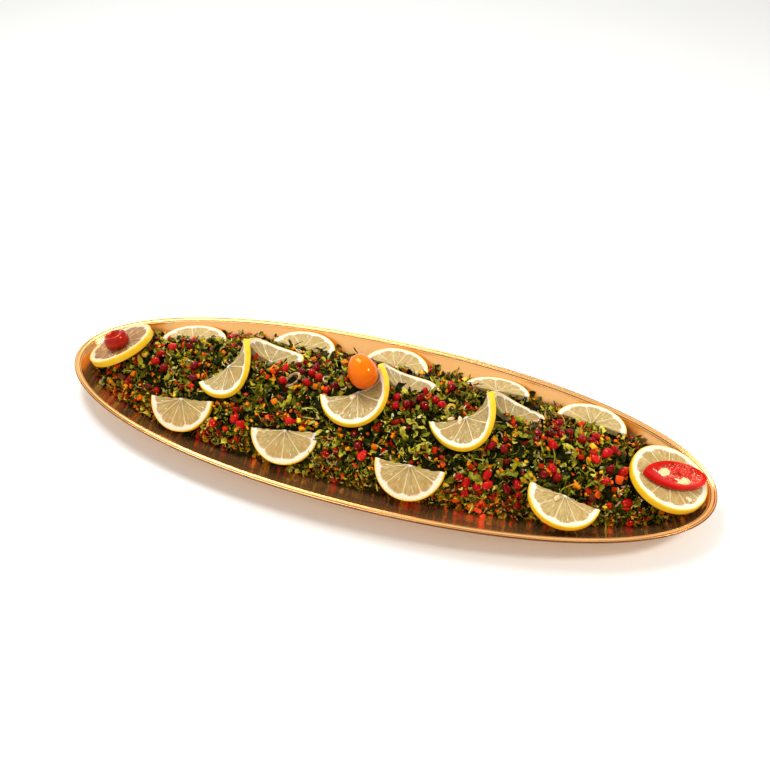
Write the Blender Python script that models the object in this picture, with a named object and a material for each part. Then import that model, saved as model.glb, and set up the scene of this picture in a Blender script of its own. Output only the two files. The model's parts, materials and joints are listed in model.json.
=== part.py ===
"""Dish of Armenian salad: a long oval copper platter with a heap of herb and bulgur salad.

Metres, +Z up, the platter's flat base at z = 0 and its middle at x = y = 0. The platter is long
in X, and the side seen from the front is -Y. Lengths below are written in millimetres times MM.
"""
import math
import random
from collections import namedtuple

import bmesh
import bpy
from mathutils import Matrix, Vector, noise
from mathutils.bvhtree import BVHTree

MM = 0.001

# ---- platter -------------------------------------------------------------------------------
HALF_LENGTH = 300 * MM
HALF_WIDTH = 103 * MM
OVAL_POWER = 2.08            # a little squarer than an ellipse
RIM_STEPS = 56
RIM_TOP = 28 * MM
# (inset from the outline, height): from the outer edge over the bead, flange and groove, down the
# curved wall to the floor, and back under the sheet to the edge again
PLATTER_TOP = [(0.0, 26.9), (1.2, 28.0), (2.6, 27.2), (5.7, 26.9), (6.8, 24.8),
               (11.4, 19.8), (16.0, 14.8), (20.6, 10.2), (25.4, 6.4), (30.6, 3.7), (36.5, 2.2)]
PLATTER_UNDER = [(34.6, 0.0), (27.4, 3.3), (19.4, 9.4), (5.9, 23.7), (5.0, 25.3), (1.0, 25.4)]
CLEAR = 0.35 * MM            # gap kept between nodes that rest on each other

# ---- heap ----------------------------------------------------------------------------------
HEAP_HALF_LENGTH = 286 * MM
HEAP_FAR_WIDTH = 82 * MM     # from the heap's middle line to its far foot
HEAP_NEAR_WIDTH = 69.5 * MM  # and to its near foot, which leaves a strip of the platter bare
HEAP_MIDDLE_Y = 7 * MM
HEAP_FOOT = 3 * MM
HEAP_RISE = 45 * MM
HEAP_FAR_OVAL = 2.3          # powers of the foot's outline
HEAP_NEAR_OVAL_LEFT = 2.15
HEAP_NEAR_OVAL_RIGHT = 1.85
HEAP_FAR_DOME = 0.9          # powers of the slopes: a lower one is fuller, with a steeper foot
HEAP_NEAR_DOME = 0.6
MOUND = Vector((-15, 7)) * MM      # a higher spot, on which the tomato leans
MOUND_RADIUS = 30 * MM
MOUND_RISE = 14 * MM
HEAP_COLUMNS = 45
HEAP_ROWS = 11
SAME_SPOT = 0.1 * MM         # the heap's tips come closer than this
BUMP_HEIGHT = 2.2 * MM
BUMP_WIDTH = 15 * MM

# ---- lemon ---------------------------------------------------------------------------------
SLICE_THICK = 5.6 * MM
ROUND_THICK = 6.6 * MM
LEMON_SIDES = 24
BEND_CUTS = 7                # cuts across a twisted half, which lets it bend

# A half slice: middle of its cut edge on the upper face (mm), heading of the cut edge, slope
# down towards the rind, roll along the cut edge (degrees) and radius (mm)
Half = namedtuple("Half", "x y z turn slope roll radius")
FRONT_HALVES = [
    Half(-171.0, -37.6, 32.4, 9, 40, 9, 30.8),
    Half(-65.6, -45.6, 34.2, 12, 36, 4, 30.8),
    Half(49.6, -48.5, 32.8, 2, 38, 2, 30.8),
    Half(180.0, -37.2, 29.4, -7, 4, -6, 30.4),
]
BACK_HALVES = [
    Half(-196.5, 36.1, 32.6, 193, 13.5, 0, 31.9),
    Half(-90.5, 57.5, 33.4, 177, 10, 0, 31.5),
    Half(1.8, 61.6, 32.4, 172, 8, 0, 31.3),
    Half(100.0, 58.6, 34.7, 183, 21, 0, 30.3),
    Half(188.3, 42.7, 36.5, 174, 12, 0, 31.0),
]

# A whole slice at an end: middle of its upper face (mm), the way it leans and how far, radius
Whole = namedtuple("Whole", "x y z lean_to lean radius")
WHOLE_LEFT = Whole(-258.4, 6.2, 38.3, 167.5, 24.5, 32.0)
WHOLE_RIGHT = Whole(259.1, 3.0, 36.7, 4, 12.5, 33.0)

# A twisted slice: a whole slice cut across but for its rind. The front half curls up from its
# free tip to the hinge, and the back half drops from the hinge and lies on the far slope. Tip in
# mm, then for each half (start, end) of the cut edge's heading and slope, (start, end) of the
# heading and the fall of the lines along which it doesn't bend (degrees), and how late it curls
Twist = namedtuple("Twist", "x y z radius front back")
Leaf = namedtuple("Leaf", "heading slope cross fall lateness")
TWISTS = [
    Twist(-158.8, -23.1, 40.4, 31.5, Leaf((39, 80), (8, 63), (-49, -58), (-2, 4), 2.5),
          Leaf((-22, 34), (-84, 12), (98, 98), (16, 16), 0.5)),
    Twist(-44.8, -11.3, 50.2, 34.0, Leaf((3, 76), (-2, 68), (-72, -50), (10, 0), 2.6),
          Leaf((-15, 29), (-95, 20), (110, 110), (14, 14), 0.6)),
    Twist(54.4, -8.8, 45.6, 33.0, Leaf((3, 70), (5, 74), (-65, -64), (2, 0), 2.9),
          Leaf((-7, 9), (-95, 26), (82, 82), (20, 20), 0.75)),
]
HINGE_OVERLAP = 3 * MM       # how far the two halves run into each other at the rind
TWIST_THICK = 5.4 * MM

# ---- toppings ------------------------------------------------------------------------------
TOMATO_LENGTH = 32 * MM
TOMATO_WIDTH = 25.8 * MM
TOMATO_PLACE = Vector((-11.8, 8.4, 71.7)) * MM
TOMATO_AXIS = Vector((-0.55, 0.5, 0.67))
CHILLI_LENGTH = 57 * MM
CHILLI_WIDTH = 27.5 * MM
CHILLI_THICK = 5.4 * MM
CHILLI_WALL = 3.9 * MM
CHILLI_TURN = 19                 # degrees, on the slice
CHILLI_PLACE = Vector((3.0, 0.2, 0.35)) * MM
PEPPER_WIDTH = 26.5 * MM
PEPPER_HEIGHT = 13 * MM
PEPPER_PLACE = Vector((5.4, -7.2, 0.35)) * MM

# ---- pieces fused on the heap --------------------------------------------------------------
ARIL_LENGTH = 9.4 * MM
ARIL_WIDTH = 7.6 * MM
ARIL_LIFT = 1.6 * MM         # how far above the core its middle lies
ARIL_ROOM = 7.4 * MM         # least distance between two middles
# Pomegranate seeds lie in loose clusters: middle (mm), how many, and how far they spread (mm)
Cluster = namedtuple("Cluster", "x y count spread")
ARIL_CLUSTERS = [
    Cluster(-240, -30, 2, 9), Cluster(-212, -8, 3, 13), Cluster(-197, 18, 4, 12),
    Cluster(-172, 62, 4, 14), Cluster(-168, -14, 2, 8), Cluster(-143, -50, 3, 9),
    Cluster(-118, -50, 5, 11), Cluster(-92, 10, 3, 17), Cluster(-62, 12, 5, 12),
    Cluster(-42, -6, 2, 9), Cluster(-64, -38, 1, 3), Cluster(-18, -57, 3, 9),
    Cluster(4, -42, 3, 10), Cluster(22, 0, 3, 11), Cluster(46, 16, 5, 16),
    Cluster(66, 44, 2, 8), Cluster(98, -52, 4, 10), Cluster(118, -47, 5, 10),
    Cluster(120, -20, 3, 10), Cluster(138, -46, 4, 9), Cluster(150, 4, 4, 12),
    Cluster(164, -30, 3, 11), Cluster(164, 24, 4, 12), Cluster(196, 14, 6, 15),
    Cluster(214, -12, 3, 11), Cluster(232, -30, 2, 8),
]
LEAF_COUNT = 40
SHRED_COUNT = 20
DICE_COUNT = 28
SALAD_SEED = 11
SHORT_EDGE = 0.002 * MM
SALAD_SHARE = 0.87           # of the triangles that fusing leaves
CUT_ABOVE = 14 * MM          # how far above a slice nothing of the heap stays
CUT_ABOVE_TWIST = 5 * MM
GUARD = 0.8 * MM             # gap kept between fused pieces and the garnish


def clear_scene():
    """Remove the objects that Blender starts with."""
    for thing in list(bpy.data.objects):
        bpy.data.objects.remove(thing, do_unlink=True)


def new_collection(name):
    """A collection linked to the scene."""
    group = bpy.data.collections.new(name)
    bpy.context.scene.collection.children.link(group)
    return group


def finish_material(name, colour, roughness, metallic=0.0):
    """A Principled material with one colour."""
    finish = bpy.data.materials.new(name)
    finish.use_nodes = True
    shader = finish.node_tree.nodes["Principled BSDF"]
    shader.inputs["Base Color"].default_value = (*colour, 1.0)
    shader.inputs["Roughness"].default_value = roughness
    shader.inputs["Metallic"].default_value = metallic
    finish.diffuse_color = (*colour, 1.0)
    return finish


def mesh_object(name, shape, group, finish=None):
    """Turn a bmesh into an object, triangulated and with its normals outwards."""
    bmesh.ops.recalc_face_normals(shape, faces=shape.faces[:])
    bmesh.ops.triangulate(shape, faces=shape.faces[:])
    mesh = bpy.data.meshes.new(name)
    shape.to_mesh(mesh)
    shape.free()
    thing = bpy.data.objects.new(name, mesh)
    group.objects.link(thing)
    if finish:
        mesh.materials.append(finish)
    return thing


def apply_boolean(target, operation, group=None, other=None, solver="EXACT"):
    """Cut or join a target with one object or with a collection, and remove those."""
    cut = target.modifiers.new(operation.title(), "BOOLEAN")
    cut.operation = operation
    cut.solver = solver
    if group:
        cut.operand_type = "COLLECTION"
        cut.collection = group
    else:
        cut.object = other
    bpy.context.view_layer.update()
    graph = bpy.context.evaluated_depsgraph_get()
    result = bpy.data.meshes.new_from_object(target.evaluated_get(graph))
    target.modifiers.clear()
    target.data = result
    for spent in list(group.objects) if group else [other]:
        bpy.data.objects.remove(spent, do_unlink=True)


# ---- platter -------------------------------------------------------------------------------
def oval_ring(shape, inset, height, steps):
    """A closed ring of vertices on the platter's oval, inset from its outline."""
    long_side = HALF_LENGTH - inset
    short_side = HALF_WIDTH - inset
    ring = []
    for step in range(steps):
        angle = 2 * math.pi * step / steps
        across, along = math.sin(angle), math.cos(angle)
        x = math.copysign(abs(along) ** (2 / OVAL_POWER), along) * long_side
        y = math.copysign(abs(across) ** (2 / OVAL_POWER), across) * short_side
        ring.append(shape.verts.new((x, y, height)))
    return ring


def loft(shape, rings):
    """Join rings of equal count with quads and close the first and the last with a face."""
    for lower, upper in zip(rings, rings[1:]):
        count = len(lower)
        for step in range(count):
            after = (step + 1) % count
            shape.faces.new((lower[step], lower[after], upper[after], upper[step]))
    shape.faces.new(reversed(rings[0]))
    shape.faces.new(rings[-1])


def make_platter(group, finish):
    """The sheet metal tray: floor, curved wall, groove, flange and bead."""
    shape = bmesh.new()
    profile = list(reversed(PLATTER_TOP)) + list(reversed(PLATTER_UNDER))
    rings = [oval_ring(shape, inset * MM, height * MM, RIM_STEPS) for inset, height in profile]
    loft(shape, rings)
    return mesh_object("platter", shape, group, finish)


def make_cavity(group):
    """The space inside the platter, a little short of its surface, open far upwards."""
    shape = bmesh.new()
    rings = []
    for inset, height in reversed(PLATTER_TOP[4::2]):
        rings.append(oval_ring(shape, inset * MM + CLEAR, height * MM + CLEAR, RIM_STEPS // 2))
    rings.append(oval_ring(shape, 6.9 * MM, 4 * RIM_TOP, RIM_STEPS // 2))
    loft(shape, rings)
    return mesh_object("cavity", shape, group)


# ---- heap ----------------------------------------------------------------------------------
def oval_share(x, power):
    """Share of its full width that an oval as long as the heap has at x."""
    along = min(abs(x) / HEAP_HALF_LENGTH, 1.0)
    return (1 - along ** power) ** (1 / power)


def heap_width(x, near):
    """Distance from the heap's middle line to its near or far foot at x."""
    if near:
        power = HEAP_NEAR_OVAL_LEFT if x < 0 else HEAP_NEAR_OVAL_RIGHT
        return HEAP_NEAR_WIDTH * oval_share(x, power)
    return HEAP_FAR_WIDTH * oval_share(x, HEAP_FAR_OVAL)


def heap_height(x, y):
    """Height of the heap's smooth surface, without bumps."""
    near = y < HEAP_MIDDLE_Y
    across = min(abs(y - HEAP_MIDDLE_Y) / max(heap_width(x, near), 1e-6), 1.0)
    dome = (1 - across * across) ** (HEAP_NEAR_DOME if near else HEAP_FAR_DOME)
    away = min((Vector((x, y)) - MOUND).length / MOUND_RADIUS, 1.0)
    mound = MOUND_RISE * (1 - away * away) ** 2
    crest = HEAP_RISE * oval_share(x, HEAP_FAR_OVAL) ** HEAP_FAR_DOME
    return HEAP_FOOT + crest * dome + mound


def bump(x, y):
    """Low lumps of the heap's surface."""
    spot = Vector((x, y, 0.0)) / BUMP_WIDTH
    return BUMP_HEIGHT * (noise.noise(spot) + 0.5 * noise.noise(spot * 2.1 + Vector((7, 3, 1))))


def make_core(group, finish):
    """The heap without its loose pieces: a domed sheet closed by a skirt and a floor."""
    shape = bmesh.new()
    bmesh.ops.create_grid(shape, x_segments=HEAP_COLUMNS, y_segments=HEAP_ROWS, size=1.0)
    for vert in shape.verts:
        across = math.sin(vert.co.y * math.pi / 2)
        # columns lie closer together towards the ends
        along = (vert.co.x + math.sin(vert.co.x * math.pi / 2)) / 2
        x = HEAP_HALF_LENGTH * along
        y = HEAP_MIDDLE_Y + heap_width(x, across < 0) * across
        lumps = bump(x, y) * (1 - across ** 4)
        vert.co = (x, y, heap_height(x, y) + lumps)
    bmesh.ops.remove_doubles(shape, verts=shape.verts[:], dist=SAME_SPOT)
    edges = [edge for edge in shape.edges if edge.is_boundary]
    skirt = bmesh.ops.extrude_edge_only(shape, edges=edges)["geom"]
    for vert in (part for part in skirt if isinstance(part, bmesh.types.BMVert)):
        vert.co.z = -HEAP_FOOT
    bmesh.ops.holes_fill(shape, edges=[edge for edge in shape.edges if edge.is_boundary])
    return mesh_object("salad", shape, group, finish)


# ---- lemon ---------------------------------------------------------------------------------
def disc(radius, thick, top, sides=LEMON_SIDES):
    """A flat slice whose upper face lies at height top."""
    shape = bmesh.new()
    bmesh.ops.create_cone(shape, cap_ends=True, segments=sides, radius1=radius, radius2=radius,
                          depth=thick)
    bmesh.ops.translate(shape, verts=shape.verts[:], vec=(0, 0, top - thick / 2))
    return shape


def cut_plane(shape, point, normal, keep_both=False):
    """Cut a closed shape along a plane. Unless both sides are kept, the far side goes."""
    everything = shape.verts[:] + shape.edges[:] + shape.faces[:]
    bmesh.ops.bisect_plane(shape, geom=everything, plane_co=point, plane_no=normal,
                           clear_outer=not keep_both)
    if not keep_both:
        bmesh.ops.holes_fill(shape, edges=[edge for edge in shape.edges if edge.is_boundary])


def half_frame(half):
    """Matrix of a half slice: X along the cut edge, Y towards the cut side, Z its upper face."""
    turn, slope, roll = (math.radians(angle) for angle in (half.turn, half.slope, half.roll))
    along = Vector((math.cos(turn), math.sin(turn), 0))
    outward = Vector((math.sin(turn) * math.cos(slope), -math.cos(turn) * math.cos(slope),
                      -math.sin(slope)))
    up = outward.cross(along)
    along, up = (along * math.cos(roll) + up * math.sin(roll),
                 up * math.cos(roll) - along * math.sin(roll))
    frame = Matrix((along, -outward, up)).transposed().to_4x4()
    frame.translation = Vector((half.x, half.y, half.z)) * MM
    return frame


def whole_frame(whole):
    """Matrix of a whole slice, tipped over towards one side."""
    frame = (Matrix.Rotation(math.radians(whole.lean_to), 4, "Z")
             @ Matrix.Rotation(math.radians(whole.lean), 4, "Y")
             @ Matrix.Rotation(-math.radians(whole.lean_to), 4, "Z"))
    frame.translation = Vector((whole.x, whole.y, whole.z)) * MM
    return frame


def place(thing, frame):
    """Put an object at a frame by its location and rotation."""
    thing.location = frame.to_translation()
    thing.rotation_euler = frame.to_euler()


def make_half(name, half, group, finish=None, grow=0.0, above=0.0, below=0.0):
    """A flat half slice, or with grow, above and below its cutter."""
    shape = disc(half.radius * MM + grow, SLICE_THICK + above + below, above)
    cut_plane(shape, (0, grow, 0), (0, 1, 0))
    thing = mesh_object(name, shape, group, finish)
    place(thing, half_frame(half))
    return thing


def make_whole(name, whole, group, finish=None, grow=0.0, above=0.0, below=0.0):
    """A whole slice at an end of the platter, or its cutter."""
    shape = disc(whole.radius * MM + grow, ROUND_THICK + above + below, above)
    thing = mesh_object(name, shape, group, finish)
    place(thing, whole_frame(whole))
    return thing


def between(ends, share):
    """A value between a start and an end."""
    return ends[0] + (ends[1] - ends[0]) * share


def leaf_cross(leaf, share):
    """Direction, from the cut edge towards the rind, in which a twisted half stays straight."""
    fall = math.radians(between(leaf.fall, share))
    heading = math.radians(between(leaf.cross, share))
    return Vector((math.cos(heading) * math.cos(fall), math.sin(heading) * math.cos(fall),
                   -math.sin(fall)))


def leaf_along(leaf, share):
    """Direction of a twisted half's cut edge at a share of its length."""
    share = max(share, 0.0)
    heading = math.radians(between(leaf.heading, share))
    slope = math.radians(between(leaf.slope, share ** leaf.lateness))
    return Vector((math.cos(heading) * math.cos(slope), math.sin(heading) * math.cos(slope),
                   math.sin(slope)))


def leaf_point(leaf, start, distance, full):
    """Point, cross direction and upward normal of a twisted half at a distance along its edge."""
    steps = 24
    point = start.copy()
    for step in range(steps):
        share = (step + 0.5) / steps * distance / full
        point += leaf_along(leaf, share) * distance / steps
    cross = leaf_cross(leaf, distance / full)
    normal = leaf_along(leaf, distance / full).cross(cross).normalized()
    return point, cross, -normal if leaf.cross[0] < 0 else normal


def bend_half(leaf, start, radius, grow, above, below, thick):
    """A half slice bent along a twisted leaf. Its start is one end of the cut edge."""
    shape = disc(radius + grow, thick + above + below, above + thick / 2)
    cut_plane(shape, (0, -grow, 0), (0, -1, 0))
    for cut in range(1, BEND_CUTS + 1):
        x = radius * (2 * cut / (BEND_CUTS + 1) - 1)
        cut_plane(shape, (x, 0, 0), (1, 0, 0), keep_both=True)
    for vert in shape.verts:
        point, cross, normal = leaf_point(leaf, start, vert.co.x + radius, 2 * radius)
        vert.co = point + cross * vert.co.y + normal * vert.co.z
    return shape


def twist_start(twist):
    """The free tip of a twisted slice's front half."""
    return Vector((twist.x, twist.y, twist.z)) * MM


def twist_hinge(twist):
    """The point on the rind where a twisted slice's two halves still join."""
    full = 2 * twist.radius * MM
    return leaf_point(twist.front, twist_start(twist), full - HINGE_OVERLAP, full)[0]


def make_twist(name, twist, group, finish=None, grow=0.0, above=0.0, below=0.0):
    """A twisted slice: both bent halves, joined at the hinge, or its cutter."""
    radius = twist.radius * MM
    front = bend_half(twist.front, twist_start(twist), radius, grow, above, below, TWIST_THICK)
    back = bend_half(twist.back, twist_hinge(twist), radius, grow, above, below, TWIST_THICK)
    body = mesh_object(name, front, group, finish)
    wing = mesh_object(name + "_back", back, group)
    apply_boolean(body, "UNION", other=wing)
    return body


# ---- toppings ------------------------------------------------------------------------------
def make_tomato(group, finish=None, grow=0.0):
    """A plum tomato leaning on the middle twisted slice, blunter at its lower end."""
    shape = bmesh.new()
    bmesh.ops.create_uvsphere(shape, u_segments=14, v_segments=9, radius=1.0)
    for vert in shape.verts:
        girth = (TOMATO_WIDTH / 2 + grow) * (1 - 0.10 * vert.co.z)
        vert.co = (vert.co.x * girth, vert.co.y * girth, vert.co.z * (TOMATO_LENGTH / 2 + grow))
    thing = mesh_object("plum_tomato", shape, group, finish)
    thing.location = TOMATO_PLACE
    thing.rotation_euler = TOMATO_AXIS.to_track_quat("Z", "Y").to_euler()
    return thing


def lens_outline(length, width, steps):
    """Points of a pointed oval with rounded tips, anticlockwise."""
    points = []
    for step in range(steps):
        angle = 2 * math.pi * step / steps
        x = math.cos(angle) * length / 2
        y = math.sin(angle) * abs(math.sin(angle)) ** 0.35 * width / 2
        points.append((x, y))
    return points


def make_chilli(group, finish):
    """A slanting slice of red chilli on the right-hand slice: wall, sunk core and seeds."""
    steps = 20
    shape = bmesh.new()
    inner_length = CHILLI_LENGTH - 4.4 * CHILLI_WALL
    inner_width = CHILLI_WIDTH - 2 * CHILLI_WALL
    rounding = 2 * MM
    sunk = CHILLI_THICK * 0.55
    levels = [(CHILLI_LENGTH - rounding, CHILLI_WIDTH - rounding, 0.0),
              (CHILLI_LENGTH, CHILLI_WIDTH, CHILLI_THICK * 0.5),
              (CHILLI_LENGTH - rounding, CHILLI_WIDTH - rounding, CHILLI_THICK),
              (inner_length, inner_width, CHILLI_THICK),
              (inner_length - rounding / 2, inner_width - rounding / 2, sunk)]
    rings = []
    for length, width, height in levels:
        points = lens_outline(length, width, steps)
        rings.append([shape.verts.new((x, y, height)) for x, y in points])
    loft(shape, rings)
    thing = mesh_object("chilli_slice", shape, group, finish)
    seeds = new_collection("chilli seeds")
    draw = random.Random(5)
    for spot in ((-11, 1), (-8, -1.5), (4, -4), (8, -3.2), (6, -1)):
        seed = bmesh.new()
        bmesh.ops.create_uvsphere(seed, u_segments=5, v_segments=4, radius=1.0)
        bmesh.ops.scale(seed, verts=seed.verts[:], vec=(2.2 * MM, 1.7 * MM, 0.9 * MM))
        bmesh.ops.rotate(seed, verts=seed.verts[:],
                         matrix=Matrix.Rotation(draw.uniform(0, math.pi), 3, "Z"))
        bmesh.ops.translate(seed, verts=seed.verts[:],
                            vec=(spot[0] * MM, spot[1] * MM, sunk + 0.45 * MM))
        mesh_object("chilli_seed", seed, seeds)
    apply_boolean(thing, "UNION", group=seeds)
    bpy.data.collections.remove(seeds)
    place(thing, whole_frame(WHOLE_RIGHT) @ Matrix.Translation(CHILLI_PLACE)
          @ Matrix.Rotation(math.radians(CHILLI_TURN), 4, "Z"))
    return thing


def make_pepper(group, finish):
    """A thick red pepper chunk on the left-hand slice, with a sunk, folded top."""
    sides = 10
    shape = bmesh.new()
    draw = random.Random(3)
    radii = [PEPPER_WIDTH / 2 * draw.uniform(0.9, 1.06) for _ in range(sides)]
    levels = [(0.80, 0.0), (1.0, 0.26), (1.0, 0.72), (0.84, 1.0), (0.58, 0.92), (0.36, 0.62)]
    rings = []
    for share, height in levels:
        ring = []
        for side in range(sides):
            angle = 2 * math.pi * side / sides
            reach = radii[side] * share
            ripple = 0.06 * math.sin(3 * angle) if height > 0.5 else 0.0
            ring.append(shape.verts.new((reach * math.cos(angle), reach * math.sin(angle) * 0.92,
                                         PEPPER_HEIGHT * (height + ripple))))
        rings.append(ring)
    loft(shape, rings)
    thing = mesh_object("pepper_piece", shape, group, finish)
    place(thing, whole_frame(WHOLE_LEFT) @ Matrix.Translation(PEPPER_PLACE))
    return thing


# ---- pieces of the salad -------------------------------------------------------------------
def aril_shape(draw):
    """A pomegranate seed: an egg with flattened sides."""
    shape = bmesh.new()
    bmesh.ops.create_uvsphere(shape, u_segments=5, v_segments=4, radius=0.5)
    size = draw.uniform(0.88, 1.08)
    for vert in shape.verts:
        taper = 1 - 0.35 * vert.co.z
        vert.co = (vert.co.x * ARIL_WIDTH * size * taper, vert.co.y * ARIL_WIDTH * size * taper,
                   vert.co.z * ARIL_LENGTH * size)
    return shape


def leaf_shape(draw):
    """A torn parsley leaf: a thin wavy star, both faces split alike."""
    points = 8
    length = draw.uniform(9, 15) * MM
    width = length * draw.uniform(0.5, 0.75)
    thick = 0.9 * MM
    wave = draw.uniform(0.8, 1.8) * MM
    phase = draw.uniform(0, 6.28)
    shape = bmesh.new()
    faces = []
    for side in (0, 1):
        middle = shape.verts.new((0, 0, side * thick))
        ring = []
        for step in range(points):
            angle = 2 * math.pi * step / points
            reach = 1.0 if step % 2 == 0 else 0.62
            height = side * thick + wave * math.sin(2 * angle + phase)
            ring.append(shape.verts.new((reach * math.cos(angle) * length / 2,
                                         reach * math.sin(angle) * width / 2, height)))
        faces.append((middle, ring))
    (low_middle, low), (top_middle, top) = faces
    for step in range(points):
        after = (step + 1) % points
        shape.faces.new((low_middle, low[after], low[step]))
        shape.faces.new((top_middle, top[step], top[after]))
        shape.faces.new((low[step], low[after], top[after], top[step]))
    return shape


def shred_shape(draw):
    """A shred of stem or onion: a bent strip."""
    length = draw.uniform(11, 19) * MM
    wide, thick = draw.uniform(1.8, 2.6) * MM, 1.3 * MM
    bow = draw.uniform(-0.12, 0.12) * length
    shape = bmesh.new()
    rings = []
    for step in range(4):
        share = step / 3
        x = (share - 0.5) * length
        y = bow * 4 * share * (1 - share)
        corners = ((-wide, -thick), (wide, -thick), (wide, thick), (-wide, thick))
        rings.append([shape.verts.new((x, y + side / 2, height / 2)) for side, height in corners])
    loft(shape, rings)
    return shape


def dice_shape(draw):
    """A cube of tomato, pepper or cucumber, a little skewed."""
    shape = bmesh.new()
    bmesh.ops.create_cube(shape, size=1.0)
    size = Vector((draw.uniform(4.5, 7.5), draw.uniform(4, 6), draw.uniform(3.5, 5))) * MM
    for vert in shape.verts:
        vert.co = Vector(side * reach * draw.uniform(0.85, 1.1)
                         for side, reach in zip(vert.co, size))
    return shape


def world_tree(things):
    """One search tree over several placed objects."""
    points, faces = [], []
    for thing in things:
        offset = len(points)
        points += [thing.matrix_world @ vert.co for vert in thing.data.vertices]
        faces += [[offset + index for index in face.vertices] for face in thing.data.polygons]
    return BVHTree.FromPolygons(points, faces)


class Scatter:
    """Places loose pieces on the heap, clear of the garnish, of the platter and of each other."""

    def __init__(self, group, garnish, cavity, surface):
        self.group = group
        self.garnish = garnish
        self.cavity = cavity
        self.surface = surface
        self.taken = []
        self.draw = random.Random(SALAD_SEED)

    def ground(self, x, y):
        """Point and normal of the core below (x, y), or None."""
        hit = self.surface.ray_cast(Vector((x, y, 0.2)), Vector((0, 0, -1)))
        return (hit[0], hit[1]) if hit[0] else None

    def is_free(self, spot, room):
        """Whether no other piece's middle lies within room."""
        return all((spot - other).length > (room + wide) / 2 for other, wide in self.taken)

    def add(self, kind, make, x, y, lift, room, upright=0.0):
        """Try one piece at (x, y). Returns whether it was placed."""
        found = self.ground(x, y)
        if not found:
            return False
        spot, normal = found
        if normal.z < 0.25 or spot.z < 6 * MM or not self.is_free(spot, room):
            return False
        shape = make(self.draw)
        tilt = Vector((0, 0, 1)).rotation_difference(normal).to_matrix()
        spin = Matrix.Rotation(self.draw.uniform(0, 2 * math.pi), 3, "Z")
        lean = Matrix.Rotation(self.draw.uniform(-upright, upright), 3, "Y")
        for vert in shape.verts:
            vert.co = spot + tilt @ (spin @ (lean @ vert.co)) + normal * lift
        bmesh.ops.recalc_face_normals(shape, faces=shape.faces[:])
        own = BVHTree.FromBMesh(shape)
        crossing = own.overlap(self.garnish) or own.overlap(self.cavity)
        if crossing or self.is_covered(spot + normal * lift):
            shape.free()
            return False
        mesh_object(kind, shape, self.group)
        self.taken.append((spot, room))
        return True

    def is_covered(self, point):
        """Whether a point lies below or inside something laid on the heap."""
        return self.garnish.ray_cast(point, Vector((0, 0, 1)))[0] is not None

    def clusters(self):
        """Pomegranate seeds in their clusters."""
        for cluster in ARIL_CLUSTERS:
            placed = 0
            for _ in range(cluster.count * 12):
                reach = cluster.spread * math.sqrt(self.draw.random())
                angle = self.draw.uniform(0, 2 * math.pi)
                x = (cluster.x + reach * math.cos(angle)) * MM
                y = (cluster.y + reach * math.sin(angle)) * MM
                placed += self.add("aril", aril_shape, x, y, ARIL_LIFT, ARIL_ROOM, 1.5)
                if placed == cluster.count:
                    break

    def spread(self, kind, make, count, lift, room, upright):
        """Pieces spread evenly over the whole heap."""
        placed = 0
        for _ in range(count * 14):
            x = self.draw.uniform(-1, 1) * HEAP_HALF_LENGTH * 0.97
            across = self.draw.uniform(-0.95, 0.95)
            y = HEAP_MIDDLE_Y + across * heap_width(x, across < 0)
            placed += self.add(kind, make, x, y, lift, room, upright)
            if placed == count:
                return


def thin_out(thing, share):
    """Keep a share of the triangles, closing up the shortest edges where pieces were fused."""
    thinner = thing.modifiers.new("Thin out", "DECIMATE")
    thinner.ratio = share
    bpy.context.view_layer.update()
    graph = bpy.context.evaluated_depsgraph_get()
    result = bpy.data.meshes.new_from_object(thing.evaluated_get(graph))
    thing.modifiers.clear()
    thing.data = result


def drop_scraps(thing):
    """Keep the largest connected shell, so that no loose scrap or sealed hollow stays."""
    shape = bmesh.new()
    shape.from_mesh(thing.data)
    bmesh.ops.dissolve_degenerate(shape, edges=shape.edges[:], dist=SHORT_EDGE)
    left = set(shape.verts)
    shells = []
    while left:
        front = [left.pop()]
        shell = set(front)
        while front:
            vert = front.pop()
            for edge in vert.link_edges:
                near = edge.other_vert(vert)
                if near in left:
                    left.discard(near)
                    shell.add(near)
                    front.append(near)
        shells.append(shell)
    shells.sort(key=len)
    for shell in shells[:-1]:
        bmesh.ops.delete(shape, geom=list(shell), context="VERTS")
    bmesh.ops.triangulate(shape, faces=shape.faces[:])
    shape.to_mesh(thing.data)
    shape.free()


def garnish_cutters(group, grow, above, below):
    """Grown copies of everything that lies on the heap."""
    things = []
    for half in FRONT_HALVES + BACK_HALVES:
        things.append(make_half("cut", half, group, None, grow, above, below))
    for whole in (WHOLE_LEFT, WHOLE_RIGHT):
        things.append(make_whole("cut", whole, group, None, grow, above, below))
    for twist in TWISTS:
        # a bent half's edges aren't square to its sheet, so its cutter grows more
        things.append(make_twist("cut", twist, group, None, 2 * grow,
                                 min(above, CUT_ABOVE_TWIST), 1.5 * below))
    things.append(make_tomato(group, None, grow))
    return things


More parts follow.
